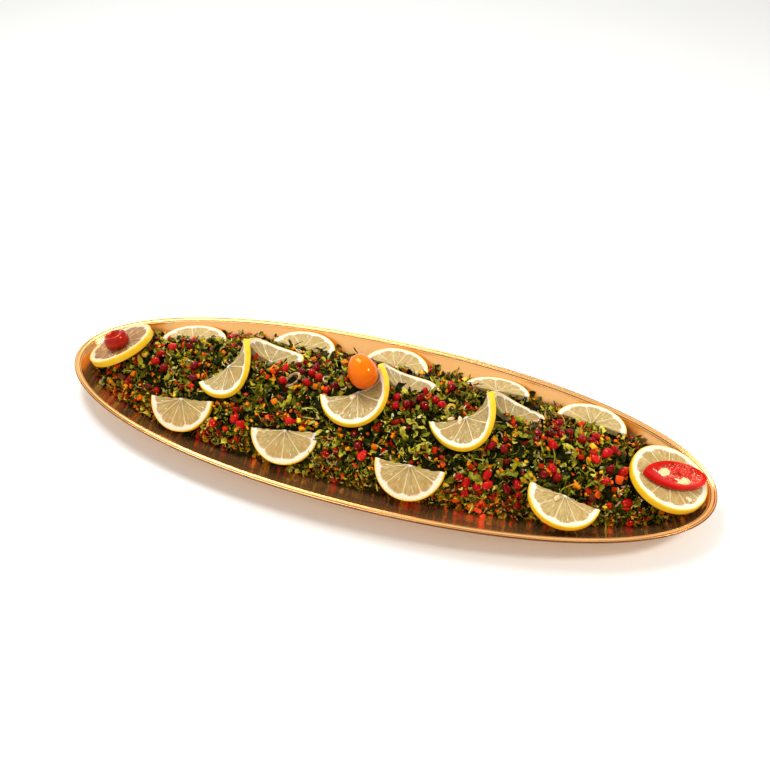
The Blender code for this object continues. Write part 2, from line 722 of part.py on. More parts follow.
def build():
    """Make every piece of the dish."""
    clear_scene()
    dish = new_collection("dish of armenian salad")
    scrap = new_collection("cutters")
    copper = finish_material("polished copper", (0.78, 0.42, 0.24), 0.18, 1.0)
    herbs = finish_material("chopped herbs", (0.07, 0.12, 0.03), 0.55)
    lemon = finish_material("lemon", (0.86, 0.74, 0.30), 0.4)
    orange = finish_material("orange tomato skin", (0.86, 0.26, 0.02), 0.12)
    red = finish_material("red pepper", (0.55, 0.02, 0.01), 0.2)

    make_platter(dish, copper)
    for number, half in enumerate(FRONT_HALVES, 1):
        make_half(f"lemon_front_{number}", half, dish, lemon)
    for number, half in enumerate(BACK_HALVES, 1):
        make_half(f"lemon_back_{number}", half, dish, lemon)
    make_whole("lemon_round_left", WHOLE_LEFT, dish, lemon)
    make_whole("lemon_round_right", WHOLE_RIGHT, dish, lemon)
    for number, twist in enumerate(TWISTS, 1):
        make_twist(f"lemon_twist_{number}", twist, dish, lemon)
    make_tomato(dish, orange)
    make_chilli(dish, red)
    make_pepper(dish, red)

    salad = make_core(dish, herbs)
    apply_boolean(salad, "INTERSECT", other=make_cavity(scrap))
    garnish_cutters(scrap, CLEAR, CUT_ABOVE, CLEAR)
    apply_boolean(salad, "DIFFERENCE", group=scrap)
    drop_scraps(salad)

    bpy.context.view_layer.update()
    guards = garnish_cutters(scrap, GUARD, 2.5 * GUARD, GUARD)
    bpy.context.view_layer.update()
    cavity = make_cavity(scrap)
    pieces = new_collection("pieces")
    scatter = Scatter(pieces, world_tree(guards), world_tree([cavity]), world_tree([salad]))
    for guard in guards + [cavity]:
        bpy.data.objects.remove(guard, do_unlink=True)
    scatter.clusters()
    scatter.spread("leaf", leaf_shape, LEAF_COUNT, 1.0 * MM, 15 * MM, 0.5)
    scatter.spread("shred", shred_shape, SHRED_COUNT, 0.3 * MM, 10 * MM, 0.25)
    scatter.spread("dice", dice_shape, DICE_COUNT, 0.8 * MM, 8 * MM, 0.6)
    apply_boolean(salad, "UNION", group=pieces, solver="MANIFOLD")
    drop_scraps(salad)
    thin_out(salad, SALAD_SHARE)
    bpy.data.collections.remove(pieces)
    bpy.data.collections.remove(scrap)


build()
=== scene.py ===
"""Dish of Armenian salad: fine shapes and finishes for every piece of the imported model.

Metres, +Z up. The platter stands on z = 0 with its middle at x = y = 0 and is long in X; the side
seen from the front is -Y. Lengths are written in millimetres times MM, angles in degrees where a
field's name says so.
"""

import json
import logging
import math
import random
from dataclasses import dataclass, field
from enum import Enum
from typing import Callable, Sequence

import bmesh
import bpy
import numpy as np
from mathutils import Matrix, Vector, noise
from mathutils.bvhtree import BVHTree

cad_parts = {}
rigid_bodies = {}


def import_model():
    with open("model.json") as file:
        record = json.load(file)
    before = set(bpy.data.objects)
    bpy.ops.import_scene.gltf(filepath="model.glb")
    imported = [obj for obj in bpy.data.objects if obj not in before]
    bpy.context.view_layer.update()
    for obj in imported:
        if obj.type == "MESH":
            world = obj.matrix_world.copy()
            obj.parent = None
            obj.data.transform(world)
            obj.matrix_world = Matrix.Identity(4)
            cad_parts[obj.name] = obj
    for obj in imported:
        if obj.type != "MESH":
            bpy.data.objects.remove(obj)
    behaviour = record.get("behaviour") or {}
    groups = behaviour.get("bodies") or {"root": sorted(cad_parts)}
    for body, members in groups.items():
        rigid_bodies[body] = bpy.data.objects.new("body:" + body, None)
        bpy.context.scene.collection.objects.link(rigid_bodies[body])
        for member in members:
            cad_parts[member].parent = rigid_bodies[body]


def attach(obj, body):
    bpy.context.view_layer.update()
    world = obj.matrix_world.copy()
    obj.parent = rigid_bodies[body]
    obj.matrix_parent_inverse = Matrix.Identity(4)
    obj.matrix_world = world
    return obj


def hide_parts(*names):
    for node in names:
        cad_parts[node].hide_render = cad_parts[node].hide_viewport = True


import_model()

MM = 0.001
ROOT = "root"
LOG = logging.getLogger("salad")

Pair = tuple[float, float]
Colour = tuple[float, float, float]
Tones = tuple[Colour, Colour]
Place = tuple[float, float, float]
Faces = list[list[int]]
Array = np.ndarray
Mapping = Callable[[Array], Array]
Crowd = Callable[[Array, Array], Array]
Shape = tuple[Array, Faces]
Material, Mesh, Thing = bpy.types.Material, bpy.types.Mesh, bpy.types.Object
Node, Socket = bpy.types.Node, bpy.types.NodeSocket


class Slot(Enum):
    """The record's material slots."""

    COPPER = "copper"
    SALAD = "herb_salad"
    LEMON = "lemon"
    TOMATO = "orange_tomato"
    PEPPER = "red_pepper"


# ---- helpers -------------------------------------------------------------------------------
def smooth_step(low: float, high: float, value: Array) -> Array:
    """Rise smoothly from 0 at low to 1 at high, or fall where low is above high."""
    share = np.clip((value - low) / (high - low), 0.0, 1.0)
    return share * share * (3.0 - 2.0 * share)


class LatticeNoise:
    """Smooth random values on a repeating lattice, the same on every run."""

    SIZE = 48

    def __init__(self, seed: int) -> None:
        """Draw the lattice that a seed fixes."""
        self.table = np.random.default_rng(seed).uniform(-1.0, 1.0, (self.SIZE,) * 3)

    def at(self, x: Array, y: Array, z: float = 0.0) -> Array:
        """Value at points in lattice steps.

        Args:
            x: First coordinate.
            y: Second coordinate.
            z: Third coordinate, the same for all points.

        Returns:
            Values from -1 to 1, of the shape of x.
        """
        low_x, low_y = np.floor(x).astype(int), np.floor(y).astype(int)
        part_x, part_y = (part * part * (3.0 - 2.0 * part) for part in (x - low_x, y - low_y))
        sheet = self.table[:, :, int(z) % self.SIZE]
        column, row = low_x % self.SIZE, low_y % self.SIZE
        next_column, next_row = (low_x + 1) % self.SIZE, (low_y + 1) % self.SIZE
        near = sheet[column, row] * (1 - part_x) + sheet[next_column, row] * part_x
        far = sheet[column, next_row] * (1 - part_x) + sheet[next_column, next_row] * part_x
        return near * (1 - part_y) + far * part_y


def shade(mesh: Mesh, smooth: bool) -> None:
    """Shade all faces of a mesh smooth or flat."""
    mesh.polygons.foreach_set("use_smooth", np.full(len(mesh.polygons), smooth))


def link(name: str, data: bpy.types.ID) -> Thing:
    """Put a mesh, a lamp or a camera in the scene as an object at the origin."""
    thing = bpy.data.objects.new(name, data)
    bpy.context.scene.collection.objects.link(thing)
    return thing


def new_object(name: str, mesh: Mesh, smooth: bool = True) -> Thing:
    """Put a piece in the scene.

    Args:
        name: The piece's name.
        mesh: Its mesh, already in place.
        smooth: Whether its faces are shaded smooth.

    Returns:
        The new object.
    """
    mesh.name = name
    shade(mesh, smooth)
    if smooth:
        mesh.set_sharp_from_angle(angle=math.radians(50))
    return link(name, mesh)


def mesh_of(points: Array, faces: Faces) -> Mesh:
    """A mesh of points, one in each row, and of faces given by their point numbers."""
    mesh = bpy.data.meshes.new("part")
    mesh.from_pydata(points.tolist(), [], faces)
    return mesh


def turn_outwards(mesh: Mesh) -> None:
    """Make all faces of closed shells point outwards.

    Args:
        mesh: A mesh of closed shells.
    """
    shape = bmesh.new()
    shape.from_mesh(mesh)
    bmesh.ops.recalc_face_normals(shape, faces=shape.faces[:])
    shape.to_mesh(mesh)
    shape.free()


def shape_of(shell: bmesh.types.BMesh) -> Shape:
    """Points and faces of a shell, in an order that is the same on every run.

    Args:
        shell: The shell, which is freed.

    Returns:
        Points and faces.
    """
    shell.verts.index_update()
    points = np.array([tuple(vert.co) for vert in shell.verts])
    faces = sorted([vert.index for vert in face.verts] for face in shell.faces)
    shell.free()
    return points, faces


def place_by(matrix: Matrix) -> Mapping:
    """A mapping that moves points by a matrix."""
    turn, offset = np.array(matrix.to_3x3()), np.array(matrix.translation)
    return lambda points: points @ turn.T + offset


def loft(rings: Sequence[Array], mapping: Mapping | None = None) -> Mesh:
    """A closed mesh through rings of points, flat at the first and at the last.

    Args:
        rings: The rings, each with the same number of points.
        mapping: Takes the points to their place, where they aren't in it.

    Returns:
        The mesh.
    """
    count, points = len(rings[0]), np.vstack(rings)
    last = len(points) - count
    faces = [[low + step, low + (step + 1) % count, low + count + (step + 1) % count,
              low + count + step] for low in range(0, last, count) for step in range(count)]
    faces += [list(range(count - 1, -1, -1)), list(range(last, last + count))]
    mesh = mesh_of(mapping(points) if mapping else points, faces)
    turn_outwards(mesh)
    return mesh


def add_values(mesh: Mesh, name: str, values: Array) -> None:
    """Store one number, or one vector, for each point of a mesh.

    Args:
        mesh: The mesh.
        name: The attribute's name.
        values: One row for each point.
    """
    kind, key = ("FLOAT", "value") if values.ndim == 1 else ("FLOAT_VECTOR", "vector")
    layer = mesh.attributes.new(name, kind, "POINT")
    layer.data.foreach_set(key, np.ascontiguousarray(values, dtype=np.float32).ravel())


def finish_modifiers(thing: Thing) -> None:
    """Replace an object's mesh by what its modifiers make of it, and remove them.

    Args:
        thing: The object.
    """
    bpy.context.view_layer.update()
    graph = bpy.context.evaluated_depsgraph_get()
    result = bpy.data.meshes.new_from_object(
        thing.evaluated_get(graph), preserve_all_data_layers=True, depsgraph=graph)
    thing.modifiers.clear()
    thing.data = result


def subdivide(thing: Thing, levels: int) -> Thing:
    """Smooth an object with a subdivision surface.

    Args:
        thing: The object.
        levels: How many times each face is split.

    Returns:
        The same object with its finer mesh.
    """
    surface = thing.modifiers.new("Smooth", "SUBSURF")
    surface.levels = surface.render_levels = levels
    finish_modifiers(thing)
    shade(thing.data, True)
    return thing


def dress(thing: Thing, finish: Material, nodes: Sequence[str] = ()) -> Thing:
    """Give a finished piece its material, its body and the nodes it stands for.

    Args:
        thing: The piece.
        finish: Its material.
        nodes: Names of the nodes that it replaces.

    Returns:
        The same object.
    """
    thing.data.materials.clear()
    thing.data.materials.append(finish)
    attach(thing, ROOT)
    if nodes:
        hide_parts(*nodes)
    LOG.info("%s: %d triangles", thing.name,
             sum(len(face.vertices) - 2 for face in thing.data.polygons))
    return thing


# ---- finishes ------------------------------------------------------------------------------
class Nodes:
    """Short calls for building a node tree."""

    def __init__(self, tree: bpy.types.NodeTree) -> None:
        """Work on a tree."""
        self.tree = tree

    def node(self, kind: str, **settings: object) -> Node:
        """Add a node.

        Args:
            kind: Its type.
            settings: Properties to set on it.

        Returns:
            The node.
        """
        made = self.tree.nodes.new(kind)
        for key, value in settings.items():
            setattr(made, key, value)
        return made

    def feed(self, target: Socket, value: object) -> None:
        """Set a socket to a value, or link another socket to it.

        Args:
            target: The socket.
            value: A number, a colour, a vector, a name, or the socket to link.
        """
        if isinstance(value, Socket):
            self.tree.links.new(value, target)
        elif target.type == "RGBA":
            target.default_value = (*value, 1.0)
        else:
            target.default_value = value

    def give(self, node: Node, **values: object) -> None:
        """Set or link a node's inputs, with underscores for the spaces in their names."""
        for key, value in values.items():
            self.feed(node.inputs[key.replace("_", " ")], value)

    def span(self, source: Socket, low: float, high: float, start: float = 0.0,
             end: float = 1.0) -> Socket:
        """Map a range of values to another, clamped.

        Args:
            source: The value.
            low: Value that gives start.
            high: Value that gives end.
            start: Result at low.
            end: Result at high.

        Returns:
            The mapped value.
        """
        ranged = self.node("ShaderNodeMapRange")
        self.give(ranged, Value=source, From_Min=low, From_Max=high, To_Min=start, To_Max=end)
        return ranged.outputs["Result"]

    def sum(self, first: Socket, second: object, operation: str = "ADD") -> Socket:
        """Add two values, or combine them another way.

        Args:
            first: A value.
            second: A value or number.
            operation: The Math node's operation.

        Returns:
            The result.
        """
        maths = self.node("ShaderNodeMath", operation=operation)
        self.feed(maths.inputs[0], first)
        self.feed(maths.inputs[1], second)
        return maths.outputs["Value"]

    def ramp(self, source: Socket, stops: Sequence[tuple[float, Colour]]) -> Socket:
        """Colours along a value.

        Args:
            source: The value, from 0 to 1.
            stops: Position and colour of each stop.

        Returns:
            The colour.
        """
        band = self.node("ShaderNodeValToRGB")
        elements = band.color_ramp.elements
        while len(elements) < len(stops):
            elements.new(0.5)
        for element, (position, colour) in zip(elements, stops):
            element.position = position
            element.color = (*colour, 1.0)
        self.feed(band.inputs["Fac"], source)
        return band.outputs["Color"]

    def mix(self, share: object, first: object, second: object, blend: str = "MIX") -> Socket:
        """Mix two colours.

        Args:
            share: How much of the second.
            first: A colour.
            second: Another colour.
            blend: How they mix.

        Returns:
            The colour.
        """
        mixed = self.node("ShaderNodeMix", data_type="RGBA", blend_type=blend)
        self.feed(mixed.inputs[0], share)
        self.feed(mixed.inputs[6], first)
        self.feed(mixed.inputs[7], second)
        return mixed.outputs[2]


class Graph(Nodes):
    """A material's nodes, round its shader."""

    def __init__(self, name: str) -> None:
        """Start a material.

        Args:
            name: Its name.
        """
        self.material = bpy.data.materials.new(name)
        self.material.use_nodes = True
        super().__init__(self.material.node_tree)
        self.shader = self.tree.nodes["Principled BSDF"]
        self.coords = self.node("ShaderNodeTexCoord").outputs["Object"]

    def value(self, name: str) -> Socket:
        """The number stored on the mesh under a name."""
        return self.node("ShaderNodeAttribute", attribute_name=name).outputs["Fac"]

    def vector(self, name: str) -> Socket:
        """The vector stored on the mesh under a name."""
        return self.node("ShaderNodeAttribute", attribute_name=name).outputs["Vector"]

    def pattern(self, texture: Node, where: Socket | None, stretch: Place, **inputs: float) -> Node:
        """Put a texture on stretched coordinates.

        Args:
            texture: The texture node.
            where: Coordinates, or None for the object's own.
            stretch: How much finer it is along each axis.
            inputs: Values of its other inputs.

        Returns:
            The texture node.
        """
        place = self.node("ShaderNodeMapping")
        self.give(place, Vector=where or self.coords, Scale=stretch)
        self.give(texture, Vector=place.outputs["Vector"], **inputs)
        return texture

    def noise(self, scale: float, detail: float = 2.0, where: Socket | None = None,
              stretch: Place = (1.0, 1.0, 1.0)) -> Socket:
        """Cloudy noise from 0 to 1."""
        cloud = self.node("ShaderNodeTexNoise")
        return self.pattern(cloud, where, stretch, Scale=scale, Detail=detail).outputs["Fac"]

    def cells(self, scale: float, where: Socket | None = None,
              stretch: Place = (1.0, 1.0, 1.0), feature: str = "F1") -> Socket:
        """Distance inside small cells, such as pores, from their middles or their edges."""
        dots = self.node("ShaderNodeTexVoronoi", feature=feature)
        return self.pattern(dots, where, stretch, Scale=scale).outputs["Distance"]

    def bump(self, height: Socket, depth: float) -> None:
        """Press a height pattern into the shader.

        Args:
            height: The pattern, from 0 to 1.
            depth: Its depth in metres.
        """
        pressed = self.node("ShaderNodeBump")
        self.give(pressed, Height=height, Strength=1.0, Distance=depth)
        self.set(Normal=pressed.outputs["Normal"])

    def set(self, **values: object) -> None:
        """Set or link the shader's inputs, with underscores for the spaces in their names."""
        self.give(self.shader, **values)


@dataclass(frozen=True)
class CopperFinish:
    """Polished, lacquered copper sheet with a slight haze, and dark bands painted in its groove and
    at its outer edge: painted shade and reflection.
    """

    colour: Colour = (0.95, 0.54, 0.22)
    worn: Colour = (0.93, 0.50, 0.19)
    # colour of the painted shade and reflection in the groove and at the outer edge
    painted_dark_bands: Colour = (0.17, 0.06, 0.02)
    roughness: float = 0.17
    metallic: float = 0.94       # the rest is its lacquer

    def build(self) -> Material:
        """Make the material.

        Returns:
            The material.
        """
        graph = Graph("polished copper")
        clouds = graph.noise(26.0, 3.0)
        metal = graph.mix(clouds, self.colour, self.worn)
        # mixes in the dark bands of painted shade and reflection
        graph.set(Base_Color=graph.mix(graph.value("age"), metal, self.painted_dark_bands),
                  Metallic=self.metallic, Specular_IOR_Level=0.1,
                  Roughness=graph.span(clouds, 0.3, 0.7, self.roughness, self.roughness + 0.07))
        return graph.material


@dataclass(frozen=True)
class HerbMassShadeFinish:
    """The wet mass of finely chopped herbs below the loose pieces, near black: painted shade for the
    gaps between them.
    """

    # near-black tones: painted shade of the gaps between clumps
    dark: Colour = (0.004, 0.005, 0.001)
    light: Colour = (0.028, 0.032, 0.006)

    def build(self) -> Material:
        """Make the material.

        Returns:
            The material.
        """
        graph = Graph("chopped herb mass")
        lumps = graph.noise(420.0, 4.0)
        graph.set(Base_Color=graph.ramp(lumps, [(0.35, self.dark), (0.75, self.light)]),
                  Roughness=0.6, Specular_IOR_Level=0.04)
        graph.bump(lumps, 0.8 * MM)
        return graph.material


@dataclass(frozen=True)
class PieceFinish:
    """Small chopped pieces, each with its own tone along a range of colours."""

    name: str
    stops: tuple[tuple[float, Colour], ...]
    roughness: float = 0.2
    grain: float = 700.0
    depth: float = 0.15 * MM
    subsurface: float = 0.0
    gloss: float = 0.13          # how much it mirrors, apart from how sharply
    mirror: Colour = (1.0, 0.85, 0.35)
    even: float = 1.0            # how uneven its roughness is

    def build(self) -> Material:
        """Make the material.

        Returns:
            The material.
        """
        graph = Graph(self.name)
        tone = graph.value("tone")
        veins = graph.noise(self.grain, 3.0)
        shade = graph.sum(tone, graph.span(veins, 0.3, 0.7, -0.07, 0.07))
        colour = graph.ramp(shade, self.stops)
        graph.set(Base_Color=colour, Specular_IOR_Level=self.gloss, Specular_Tint=self.mirror,
                  Roughness=graph.span(veins, 0.3, 0.7, self.roughness - 0.1 * self.even,
                                       self.roughness + 0.12 * self.even))
        if self.subsurface:
            graph.set(Subsurface_Weight=self.subsurface, Subsurface_Scale=1.5 * MM,
                      Subsurface_Radius=(1.0, 0.5, 0.3))
        graph.bump(veins, self.depth)
        return graph.material


@dataclass(frozen=True)
class LemonFinish:
    """Wet pulp of juice sacs in its membranes, white pith and yellow rind with pores."""

    pulp_deep: Colour = (0.36, 0.235, 0.08)
    pulp: Colour = (0.48, 0.35, 0.14)
    pulp_light: Colour = (0.64, 0.52, 0.28)
    tint: Colour = (0.50, 0.25, 0.07)
    # colour of the pale specks painted as highlights on the wet pulp
    painted_glint: Colour = (0.86, 0.80, 0.66)
    membrane: Colour = (0.74, 0.62, 0.38)
    leaf_tint: Colour = (0.34, 0.30, 0.085)
    pith: Colour = (0.84, 0.77, 0.66)
    rind: Colour = (0.95, 0.55, 0.010)
    rind_pale: Colour = (0.96, 0.64, 0.04)
    painted_shade_scale: float = 1.0        # darkens the pulp as painted shade: these slices catch more light than the rest and show the dark salad through them

    def build(self) -> Material:
        """Make the material.

        Returns:
            The material.
        """
        graph = Graph("lemon")
        polar, flesh, rind = graph.vector("polar"), graph.value("flesh"), graph.value("rind")
        streaks = graph.noise(760.0, 2.0, polar, (1.0, 0.3, 1.0))
        sacs = graph.span(graph.cells(430.0, polar, (1.0, 0.26, 1.0), "DISTANCE_TO_EDGE"), 0.0, 0.22)
        light = graph.sum(graph.span(streaks, 0.3, 0.7, 0.0, 0.35),
                          graph.sum(graph.span(sacs, 0.0, 1.0, 0.28, 0.0),
                                    graph.sum(graph.value("shade"), 0.34, "MULTIPLY")))
        # the pulp's colours scaled down: painted shade
        deep, middle, pale = (tuple(part * self.painted_shade_scale for part in colour) for colour in
                              (self.pulp_deep, self.pulp, self.pulp_light))
        pulp = graph.ramp(light, [(0.1, deep), (0.5, middle), (0.95, pale)])
        pulp = graph.mix(graph.span(graph.noise(70.0, 3.0), 0.5, 0.75, 0.0, 0.5), pulp, self.tint)
        patches = graph.span(graph.noise(95.0, 2.0), 0.28, 0.46, 0.55, 0.0)
        pulp = graph.mix(patches, pulp, self.leaf_tint)
        # pale specks in the pulp: painted highlights of the wet juice sacs
        wet = graph.cells(330.0, polar, (1.0, 0.3, 1.0))
        pulp = graph.mix(graph.span(wet, 0.10, 0.16, 0.75, 0.0), pulp, self.painted_glint)
        inside = graph.mix(flesh, self.pith, graph.mix(graph.value("wall"), pulp, self.membrane))
        pores = graph.span(graph.cells(900.0), 0.0, 0.5)
        skin = graph.mix(graph.span(graph.noise(160.0), 0.35, 0.7), self.rind, self.rind_pale)
        graph.set(Base_Color=graph.mix(rind, inside, skin),
                  Roughness=graph.sum(graph.span(flesh, 0.0, 1.0, 0.5, 0.16),
                                      graph.span(rind, 0.0, 1.0, 0.0, -0.18)),
                  Subsurface_Weight=graph.span(rind, 0.0, 1.0, 0.25, 0.04),
                  Subsurface_Scale=2.5 * MM, Subsurface_Radius=(1.0, 0.8, 0.35),
                  Specular_IOR_Level=0.35, Specular_Tint=(1.0, 0.92, 0.62))
        relief = graph.sum(graph.sum(sacs, 0.7, "MULTIPLY"), streaks)
        grain = graph.sum(graph.sum(relief, flesh, "MULTIPLY"), graph.sum(pores, rind, "MULTIPLY"))
        graph.bump(grain, 0.3 * MM)
        return graph.material


@dataclass(frozen=True)
class SkinFinish:
    """Smooth, glossy, slightly see-through skin or flesh, such as tomato, chilli or seeds."""

    name: str
    colour: Colour
    deep: Colour
    roughness: float = 0.1
    mottle: float = 90.0
    subsurface: float = 0.15
    gloss: float = 0.8           # how much it mirrors, apart from how sharply
    mirror: Colour = (1.0, 0.40, 0.12)
    depth: float = 0.02 * MM
    along: str = ""              # attribute that takes the place of the clouds

    def build(self) -> Material:
        """Make the material.

        Returns:
            The material.
        """
        graph = Graph(self.name)
        clouds = graph.noise(self.mottle, 3.0)
        share = graph.value(self.along) if self.along else graph.span(clouds, 0.3, 0.7)
        graph.set(Base_Color=graph.mix(share, self.colour, self.deep),
                  Roughness=graph.span(clouds, 0.2, 0.8, self.roughness,
                                       self.roughness + 0.08),
                  Subsurface_Weight=self.subsurface, Subsurface_Scale=2 * MM,
                  Subsurface_Radius=(1.0, 0.3, 0.15), Specular_IOR_Level=self.gloss,
                  Specular_Tint=self.mirror)
        graph.bump(clouds, self.depth)
        return graph.material


# ---- platter -------------------------------------------------------------------------------
@dataclass
class Platter:
    """The long oval tray: floor, curved wall, groove, flange and bead."""

    half_length: float = 300 * MM
    half_width: float = 103 * MM
    oval_power: float = 2.08
    steps: int = 160
    # insets in mm between which the sheet is painted dark, in the groove and at the outer edge:
    # painted shade and reflection
    painted_dark_bands: tuple[Pair, ...] = ((4.97, 5.4), (-0.1, 0.85))
    # (inset from the outline, height) in mm, from the outer edge over the rim to the floor
    upper: tuple[Pair, ...] = (
        (0.0, 26.9), (0.2, 27.5), (0.6, 27.9), (1.1, 28.0), (1.7, 27.8), (2.3, 27.3),
        (2.8, 26.9), (3.3, 26.75), (4.0, 26.75), (4.7, 26.8), (4.95, 26.65), (5.05, 26.2),
        (5.3, 26.05), (5.6, 26.2), (5.9, 26.25), (6.2, 25.9), (6.8, 24.9), (8.8, 22.6),
        (11.4, 19.8), (16.0, 14.8), (20.6, 10.2), (25.4, 6.4), (30.6, 3.7), (36.5, 2.25),
        (44.0, 2.2), (92.0, 2.2))
    under: tuple[Pair, ...] = (
        (92.0, 0.0), (40.0, 0.0), (34.0, 0.0), (32.6, 0.5), (27.4, 3.3), (19.4, 9.4),
        (12.6, 16.6), (5.9, 23.7), (5.0, 25.2), (4.4, 25.4), (1.2, 25.5), (0.3, 26.1))

    def ring(self, inset: float, height: float) -> Array:
        """Points of one closed ring.

        Args:
            inset: Distance inwards from the outline, in metres.
            height: Height above the base, in metres.

        Returns:
            One row for each point.
        """
        angle = np.linspace(0.0, 2 * math.pi, self.steps, endpoint=False)
        along, across = np.cos(angle), np.sin(angle)
        power = 2.0 / self.oval_power
        x = np.sign(along) * np.abs(along) ** power * (self.half_length - inset)
        y = np.sign(across) * np.abs(across) ** power * (self.half_width - inset)
        return np.column_stack((x, y, np.full(self.steps, height)))

    def build(self, finish: Material) -> None:
        """Make the platter, with its dark bands of painted shade and reflection.

        Args:
            finish: Its material.
        """
        profile = list(reversed(self.upper)) + list(reversed(self.under))
        mesh = loft([self.ring(inset * MM, height * MM) for inset, height in profile])
        # 1 on the upper surface within the dark bands of painted shade and reflection, else 0
        age = [float(level < len(self.upper) and any(low < inset < high
                                                     for low, high in self.painted_dark_bands))
               for level, (inset, _) in enumerate(profile)]
        add_values(mesh, "age", np.repeat(age, self.steps))
        dress(subdivide(new_object("copper_platter", mesh), 1), finish, ["platter"])

    def inset_at(self, x: Array, y: Array) -> Array:
        """How far points lie inwards from the outline.

        Args:
            x: Places along the platter.
            y: Places across it.

        Returns:
            Insets in metres.
        """
        low = np.full(x.shape, -40 * MM)
        high = np.full(x.shape, self.half_width - 1 * MM)
        for _ in range(26):
            middle = (low + high) / 2
            reach = (np.abs(x / (self.half_length - middle)) ** self.oval_power
                     + np.abs(y / (self.half_width - middle)) ** self.oval_power)
            outside = reach > 1.0
            high = np.where(outside, middle, high)
            low = np.where(outside, low, middle)
        return (low + high) / 2

    def height_at(self, x: Array, y: Array) -> Array:
        """Height of the platter's upper surface."""
        insets, heights = np.array(self.upper).T * MM
        return np.interp(self.inset_at(x, y), insets, heights)


# ---- lemon ---------------------------------------------------------------------------------
@dataclass
class SliceShape:
    """A lemon slice in its own flat frame: pulp in segments, pith and rind.

    A half has its cut edge along X and its flesh on one side of it in Y.
    """

    radius: float
    thick: float
    top: float                   # height of the upper face
    whole: bool = False
    side: int = 1                # a half's flesh lies towards +Y or -Y
    first: float = 0.25          # angle of the first membrane, in radians
    segments: int = 10           # in a whole slice
    seed: int = 1
    rings: int = 28
    steps: int = 150             # across a half
    pith: float = 4.5 * MM       # with the rind, in the middle of a segment
    scallop: float = 2.1 * MM    # how far the pith reaches in between segments
    skin: float = 1.35 * MM
    sink: float = 0.4 * MM       # how deep the pulp lies below the pith
    swell: float = 0.28 * MM     # relief of the juice sacs
    torn: float = 1.7 * MM       # how far a half's cut edge is drawn back

    def membranes(self) -> Array:
        """Space the membranes unevenly round the full turn.

        Returns:
            Their angles.
        """
        draw = np.random.default_rng(self.seed)
        widths = draw.uniform(0.78, 1.22, self.segments)
        turns = np.cumsum(widths) / widths.sum() * 2 * math.pi
        return np.sort((turns + self.first) % (2 * math.pi))

    def zones(self, angle: Array, reach: Array) -> dict[str, Array]:
        """What the slice is made of at points given by angle and distance from its middle.

        Args:
            angle: Angles in radians.
            reach: Distances in metres.

        Returns:
            Shares of flesh, membrane wall and rind, the sacs' shade, and stretched coordinates.
        """
        walls = self.membranes()
        after = np.searchsorted(walls, angle % (2 * math.pi)) % self.segments
        before = (after - 1) % self.segments
        width = (walls[after] - walls[before]) % (2 * math.pi)
        share = ((angle - walls[before]) % (2 * math.pi)) / width
        gap = np.minimum(share, 1 - share) * width * reach
        inner = self.radius - self.pith - self.scallop * np.abs(2 * share - 1) ** 3
        ragged = LatticeNoise(self.seed + 40)
        inner = inner + 0.4 * MM * ragged.at(angle * 9, np.zeros_like(angle))
        flesh = smooth_step(0.35 * MM, -0.35 * MM, reach - inner)
        flesh = flesh * smooth_step(1.2 * MM, 2.4 * MM, reach)
        wall = smooth_step(0.6 * MM, 0.2 * MM, gap)
        glands = 0.35 * MM * ragged.at(angle * self.radius / (0.9 * MM), np.zeros_like(angle))
        rind = smooth_step(-0.2 * MM, 0.2 * MM, reach - (self.radius - self.skin) - glands)
        sacs = LatticeNoise(self.seed)
        across = angle * self.radius / (1.5 * MM)
        shade = (0.65 * sacs.at(across, reach / (6 * MM), 1)
                 + 0.35 * sacs.at(across * 2.1, reach / (3.5 * MM), 2))
        polar = np.column_stack((angle * self.radius * 0.7, reach, np.zeros_like(angle)))
        return {"flesh": flesh, "wall": wall, "rind": rind, "shade": 0.5 + 0.5 * shade,
                "polar": polar}

    def build(self, mapping: Mapping) -> Mesh:
        """Make the slice as one closed mesh.

        Args:
            mapping: Takes points of the flat frame to their place on the dish.

        Returns:
            The mesh.
        """
        steps = self.steps * 2 if self.whole else self.steps + 1
        turn = 2 * math.pi if self.whole else math.pi
        angles = np.linspace(0.0, turn, steps, endpoint=not self.whole)
        if not self.whole and self.side < 0:
            angles = angles + math.pi
        flat_reach = np.linspace(0.0, self.radius - 0.5 * MM, self.rings + 1)[1:]
        bottom = self.top - self.thick
        edge = [(self.radius - 0.12 * MM, self.top - 0.35 * MM),
                (self.radius, self.top - 0.3 * self.thick),
                (self.radius, self.top - 0.7 * self.thick),
                (self.radius - 0.12 * MM, bottom + 0.35 * MM)]
        reach = np.concatenate((flat_reach, [r for r, _ in edge], flat_reach[::-1]))
        height = np.concatenate((np.full(self.rings, self.top), [z for _, z in edge],
                                 np.full(self.rings, bottom)))
        face = np.concatenate((np.ones(self.rings), np.zeros(len(edge)), -np.ones(self.rings)))
        across, along = np.meshgrid(reach, angles)
        zones = self.zones(along.ravel(), across.ravel())
        depth = -self.sink * (1 - zones["wall"]) + self.swell * (2 * zones["shade"] - 1)
        relief = np.tile(face, steps) * zones["flesh"] * depth
        level = np.tile(height, steps) + relief
        points = np.column_stack((across.ravel() * np.cos(along.ravel()),
                                  across.ravel() * np.sin(along.ravel()), level))
        poles = np.array([[0.0, 0.0, self.top], [0.0, 0.0, bottom]])
        middle = self.zones(np.array([angles[0]] * 2), np.zeros(2))
        zones = {key: np.concatenate((value, middle[key])) for key, value in zones.items()}
        points = self.scoop(np.vstack((points, poles)))
        mesh = mesh_of(mapping(points), self.faces(steps, len(reach)))
        turn_outwards(mesh)
        for key, value in zones.items():
            add_values(mesh, key, value)
        return mesh

